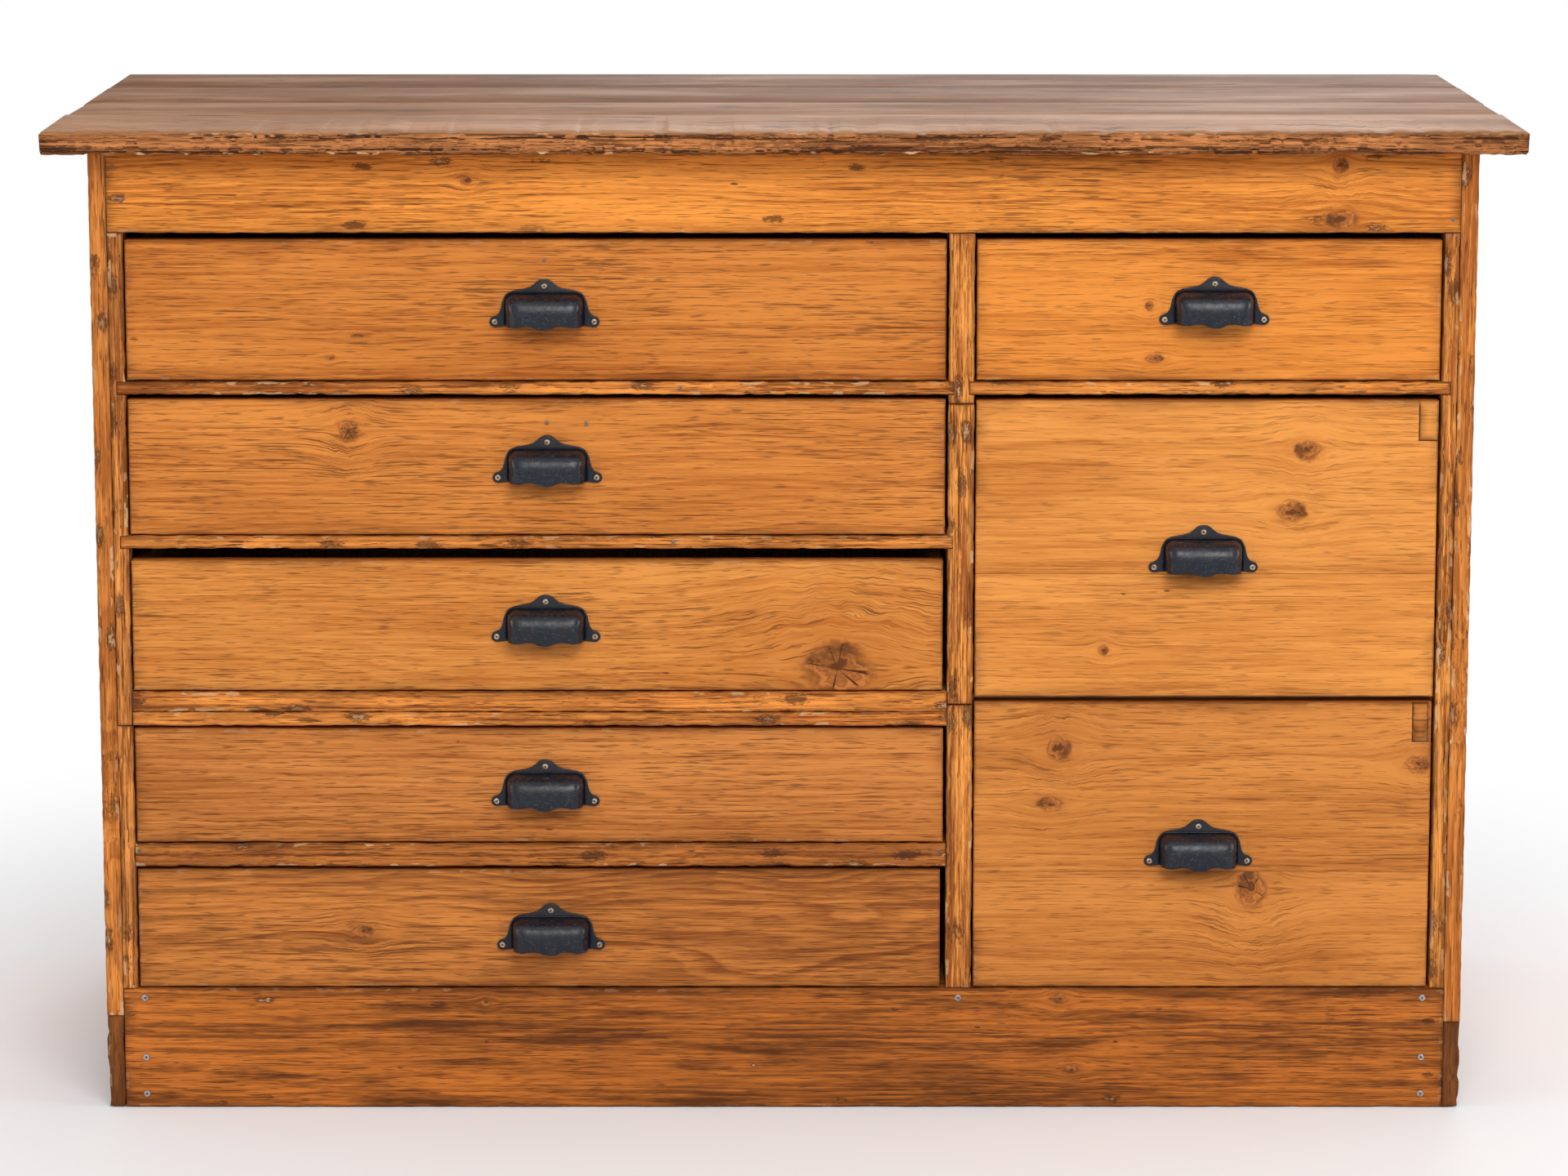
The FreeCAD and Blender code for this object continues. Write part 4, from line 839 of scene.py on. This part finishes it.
def japan(name, place_of):
    """Old black japan: blue black where it is whole, brown where it is thin and towards the top, where
    the brown is a painted reflection of the wood above, with scuffs and dust.
    """
    finish = bpy.data.materials.new(name)
    tree = new_tree(finish)
    place = step(tree, "VectorMath", step(tree, "TexCoord").outputs["Object"], place_of,
                 operation="SUBTRACT").outputs[0]
    moved = step(tree, "VectorMath", place, [v * 7.0 for v in place_of], operation="ADD").outputs[0]
    _, out, up = step(tree, "SeparateXYZ", place).outputs
    thin_and_reflected = mottle(tree, moved, (70.0, 70.0, 110.0), 3.0, 0.6)
    # the brown is pushed up the cup: a painted reflection of the wood above, over the real thinning
    high = ramp(tree, up, 0.004, 0.022, -0.06, 0.10)
    thin_and_reflected = ramp(tree, plus(tree, thin_and_reflected, high), 0.50, 0.66)
    colour = mix(tree, times(tree, thin_and_reflected, 0.45), paint(12, 19, 30), paint(42, 29, 25))
    scuff = mottle(tree, moved, (260.0, 260.0, 900.0), 2.0)
    crossed = mottle(tree, moved, (900.0, 260.0, 260.0), 2.0)
    scuff = sums(tree, "MAXIMUM", ramp(tree, scuff, 0.60, 0.72), ramp(tree, crossed, 0.62, 0.74))
    scuff = times(tree, scuff, ramp(tree, out, -0.006, -0.018, 0.25, 1.0))
    colour = mix(tree, times(tree, scuff, 0.5), colour, paint(78, 84, 98))
    dust = ramp(tree, mottle(tree, moved, (180.0, 180.0, 180.0), 3.0, 0.7), 0.35, 0.70)
    height = plus(tree, times(tree, dust, 0.6), times(tree, thin_and_reflected, 0.4))
    coat(tree, colour, ramp(tree, dust, 0.0, 1.0, 0.22, 0.42), height, 0.35, 0.0003, 0.35)
    return finish


def placed(model, name, where):
    """A copy of a model, with its own mesh, at a place."""
    copy = model.copy()
    copy.data = model.data.copy()
    copy.name = copy.data.name = name
    bpy.context.scene.collection.objects.link(copy)
    take(copy)
    bpy.ops.transform.translate(value=where)
    bpy.ops.object.transform_apply(location=True, rotation=True, scale=True)
    return copy


EARS = {}
for drawer in drawers:
    low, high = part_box(f"{drawer}_pull")
    EARS[drawer] = Vector(((low.x + high.x) / 2, high.y, low.z + EAR_RISE))
    pull = placed(plate, f"{drawer}_cup_pull", EARS[drawer])
    fit(pull, pull.name, drawer, "pull_iron", f"{drawer}_pull")
    pull.data.materials.append(japan(f"japan {drawer}", EARS[drawer]))
bpy.data.objects.remove(plate)

# ---------------------------------------------------------------- pull screws
# Three slotted steel screws with round heads hold each pull. Their blacking has rubbed off the crowns
# and wax has filled the slots.


def pin(radius, crown, shank, depth, slot):
    """A round headed fixing pointing along Y, with its head standing out from Y = 0."""
    bpy.ops.object.select_all(action="DESELECT")
    bpy.ops.mesh.primitive_cylinder_add(vertices=16, radius=radius, depth=crown,
                                        location=(0, -crown / 2, 0), rotation=(pi / 2, 0, 0))
    bpy.ops.object.transform_apply(location=True, rotation=True, scale=True)
    made = bpy.context.object
    bpy.ops.object.mode_set(mode="EDIT")
    picked(made, lambda f: f.normal.y > 0.9, "faces")
    bpy.ops.mesh.inset(thickness=radius - shank)
    bpy.ops.mesh.extrude_region_move(TRANSFORM_OT_translate={"value": (0, depth, 0)})
    picked(made, lambda e: all(v.co.y < -crown + 1e-6 for v in e.verts))
    bpy.ops.mesh.bevel(offset=crown * 0.72, segments=3, affect="EDGES")
    if slot:
        for side in (-1, 1):
            bpy.ops.mesh.select_all(action="SELECT")
            bpy.ops.mesh.bisect(plane_co=(side * slot / 2, 0, 0), plane_no=(1, 0, 0))
        picked(made, lambda f: f.normal.y < -0.3 and abs(f.calc_center_median().x) < slot / 2, "faces")
        bpy.ops.mesh.extrude_region_move(TRANSFORM_OT_translate={"value": (0, crown * 0.45, 0)})
    bpy.ops.mesh.select_mode(type="VERT")
    bpy.ops.object.mode_set(mode="OBJECT")
    bpy.ops.object.shade_smooth_by_angle(angle=radians(40))
    return made


def rubbed(name, middles, radius, bright, dull, rust):
    """A metal head rubbed bright round its crown, with dirt in the middle and round the rim."""
    finish = bpy.data.materials.new(name)
    tree = new_tree(finish)
    place = step(tree, "TexCoord").outputs["Object"]
    flat = step(tree, "VectorMath", place, (1.0, 0.0, 1.0), operation="MULTIPLY").outputs[0]
    reach = None
    for middle in middles:
        away = step(tree, "VectorMath", flat, (middle.x, 0, middle.z),
                    operation="DISTANCE").outputs["Value"]
        reach = away if reach is None else sums(tree, "MINIMUM", reach, away)
    reach = sums(tree, "DIVIDE", reach, radius)
    grain = mottle(tree, place, (900.0, 900.0, 900.0), 2.0)
    worn = times(tree, ramp(tree, reach, 0.22, 0.45), ramp(tree, reach, 1.0, 0.86),
                 ramp(tree, grain, 0.30, 0.46, 0.4, 1.0))
    colour = mix(tree, worn, dull, bright)
    rusty = ramp(tree, mottle(tree, place, (420.0, 420.0, 420.0), 2.0), 0.52, 0.62, 0.0, 0.7)
    colour = mix(tree, rusty, colour, rust)
    shader = coat(tree, colour, ramp(tree, grain, 0.3, 0.7, 0.34, 0.55), grain, 0.3, 0.0002, 0.5)
    tree.links.new(ramp(tree, worn, 0.0, 1.0, 0.0, 0.7), shader.inputs["Metallic"])
    return finish


SCREW_HEAD = 0.0028
screw = pin(SCREW_HEAD, 0.0015, 0.0016, 0.012, 0.0009)
SCREWS = ((-0.045, -0.0019, 0), (0.045, -0.0019, 0), (0, -0.0019, 0.0325))
for i, drawer in enumerate(drawers):
    middles = [EARS[drawer] + Vector(offset) for offset in SCREWS]
    heads = []
    for n, middle in enumerate(middles):
        head = placed(screw, f"{drawer}_screw_{n + 1}", middle)
        bpy.ops.transform.rotate(value=0.7 * i + 1.9 * n, orient_axis="Y", center_override=middle)
        bpy.ops.object.transform_apply(location=True, rotation=True, scale=True)
        heads.append(head)
    take(heads[0])
    for head in heads[1:]:
        head.select_set(True)
    bpy.ops.object.join()
    fit(heads[0], f"{drawer}_screw_heads", drawer, "screw_steel", f"{drawer}_screws")
    heads[0].data.materials.append(rubbed(f"rubbed steel {drawer}", middles, SCREW_HEAD,
                                          paint(190, 170, 148), paint(40, 30, 26), paint(112, 72, 46)))
bpy.data.objects.remove(screw)

# ---------------------------------------------------------------- nails
# Clout nails hold the plinth, and small brads pin the top rail, two of the rails, the stiles and old
# repairs in two fronts. All have gone grey and a little rusty, and sit just proud of the wood.
CLOUT_HEAD, BRAD_HEAD = 0.0032, 0.0019
clout = pin(CLOUT_HEAD, 0.0009, 0.0014, 0.016, 0)
for i, nail in enumerate(boards_of("plinth_nails")):
    low, high = limits(nail)
    middle = Vector(((low.x + high.x) / 2, FACE, (low.z + high.z) / 2))
    bpy.data.objects.remove(nail)
    head = placed(clout, f"plinth_nail_{i + 1}", middle)
    fit(head, head.name, "carcass", "nail_iron", "plinth_nails")
    head.data.materials.append(rubbed(head.name, [middle], CLOUT_HEAD, paint(176, 172, 170),
                                      paint(58, 46, 40), paint(120, 84, 60)))
bpy.data.objects.remove(clout)
brad = pin(BRAD_HEAD, 0.0005, 0.0009, 0.014, 0)
BRADS = (("carcass", -0.6064, 0.880), ("carcass", -0.5996, 0.848), ("carcass", 0.6060, 0.8314),
         ("carcass", -0.094, 0.6775), ("carcass", -0.101, 0.5345), ("carcass", -0.596, 0.2450),
         ("carcass", 0.143, 0.2450), ("drawer_left_1", -0.217, 0.7946),
         ("drawer_left_2", -0.2156, 0.6454), ("drawer_left_2", -0.1796, 0.6446))
for i, (body, x, z) in enumerate(BRADS):
    middle = Vector((x, FACE + 0.0002, z))
    head = placed(brad, f"brad_{i + 1}", middle)
    fit(head, head.name, body, "nail_iron")
    head.data.materials.append(rubbed(head.name, [middle], BRAD_HEAD, paint(140, 124, 108),
                                      paint(46, 34, 28), paint(112, 76, 54)))
bpy.data.objects.remove(brad)
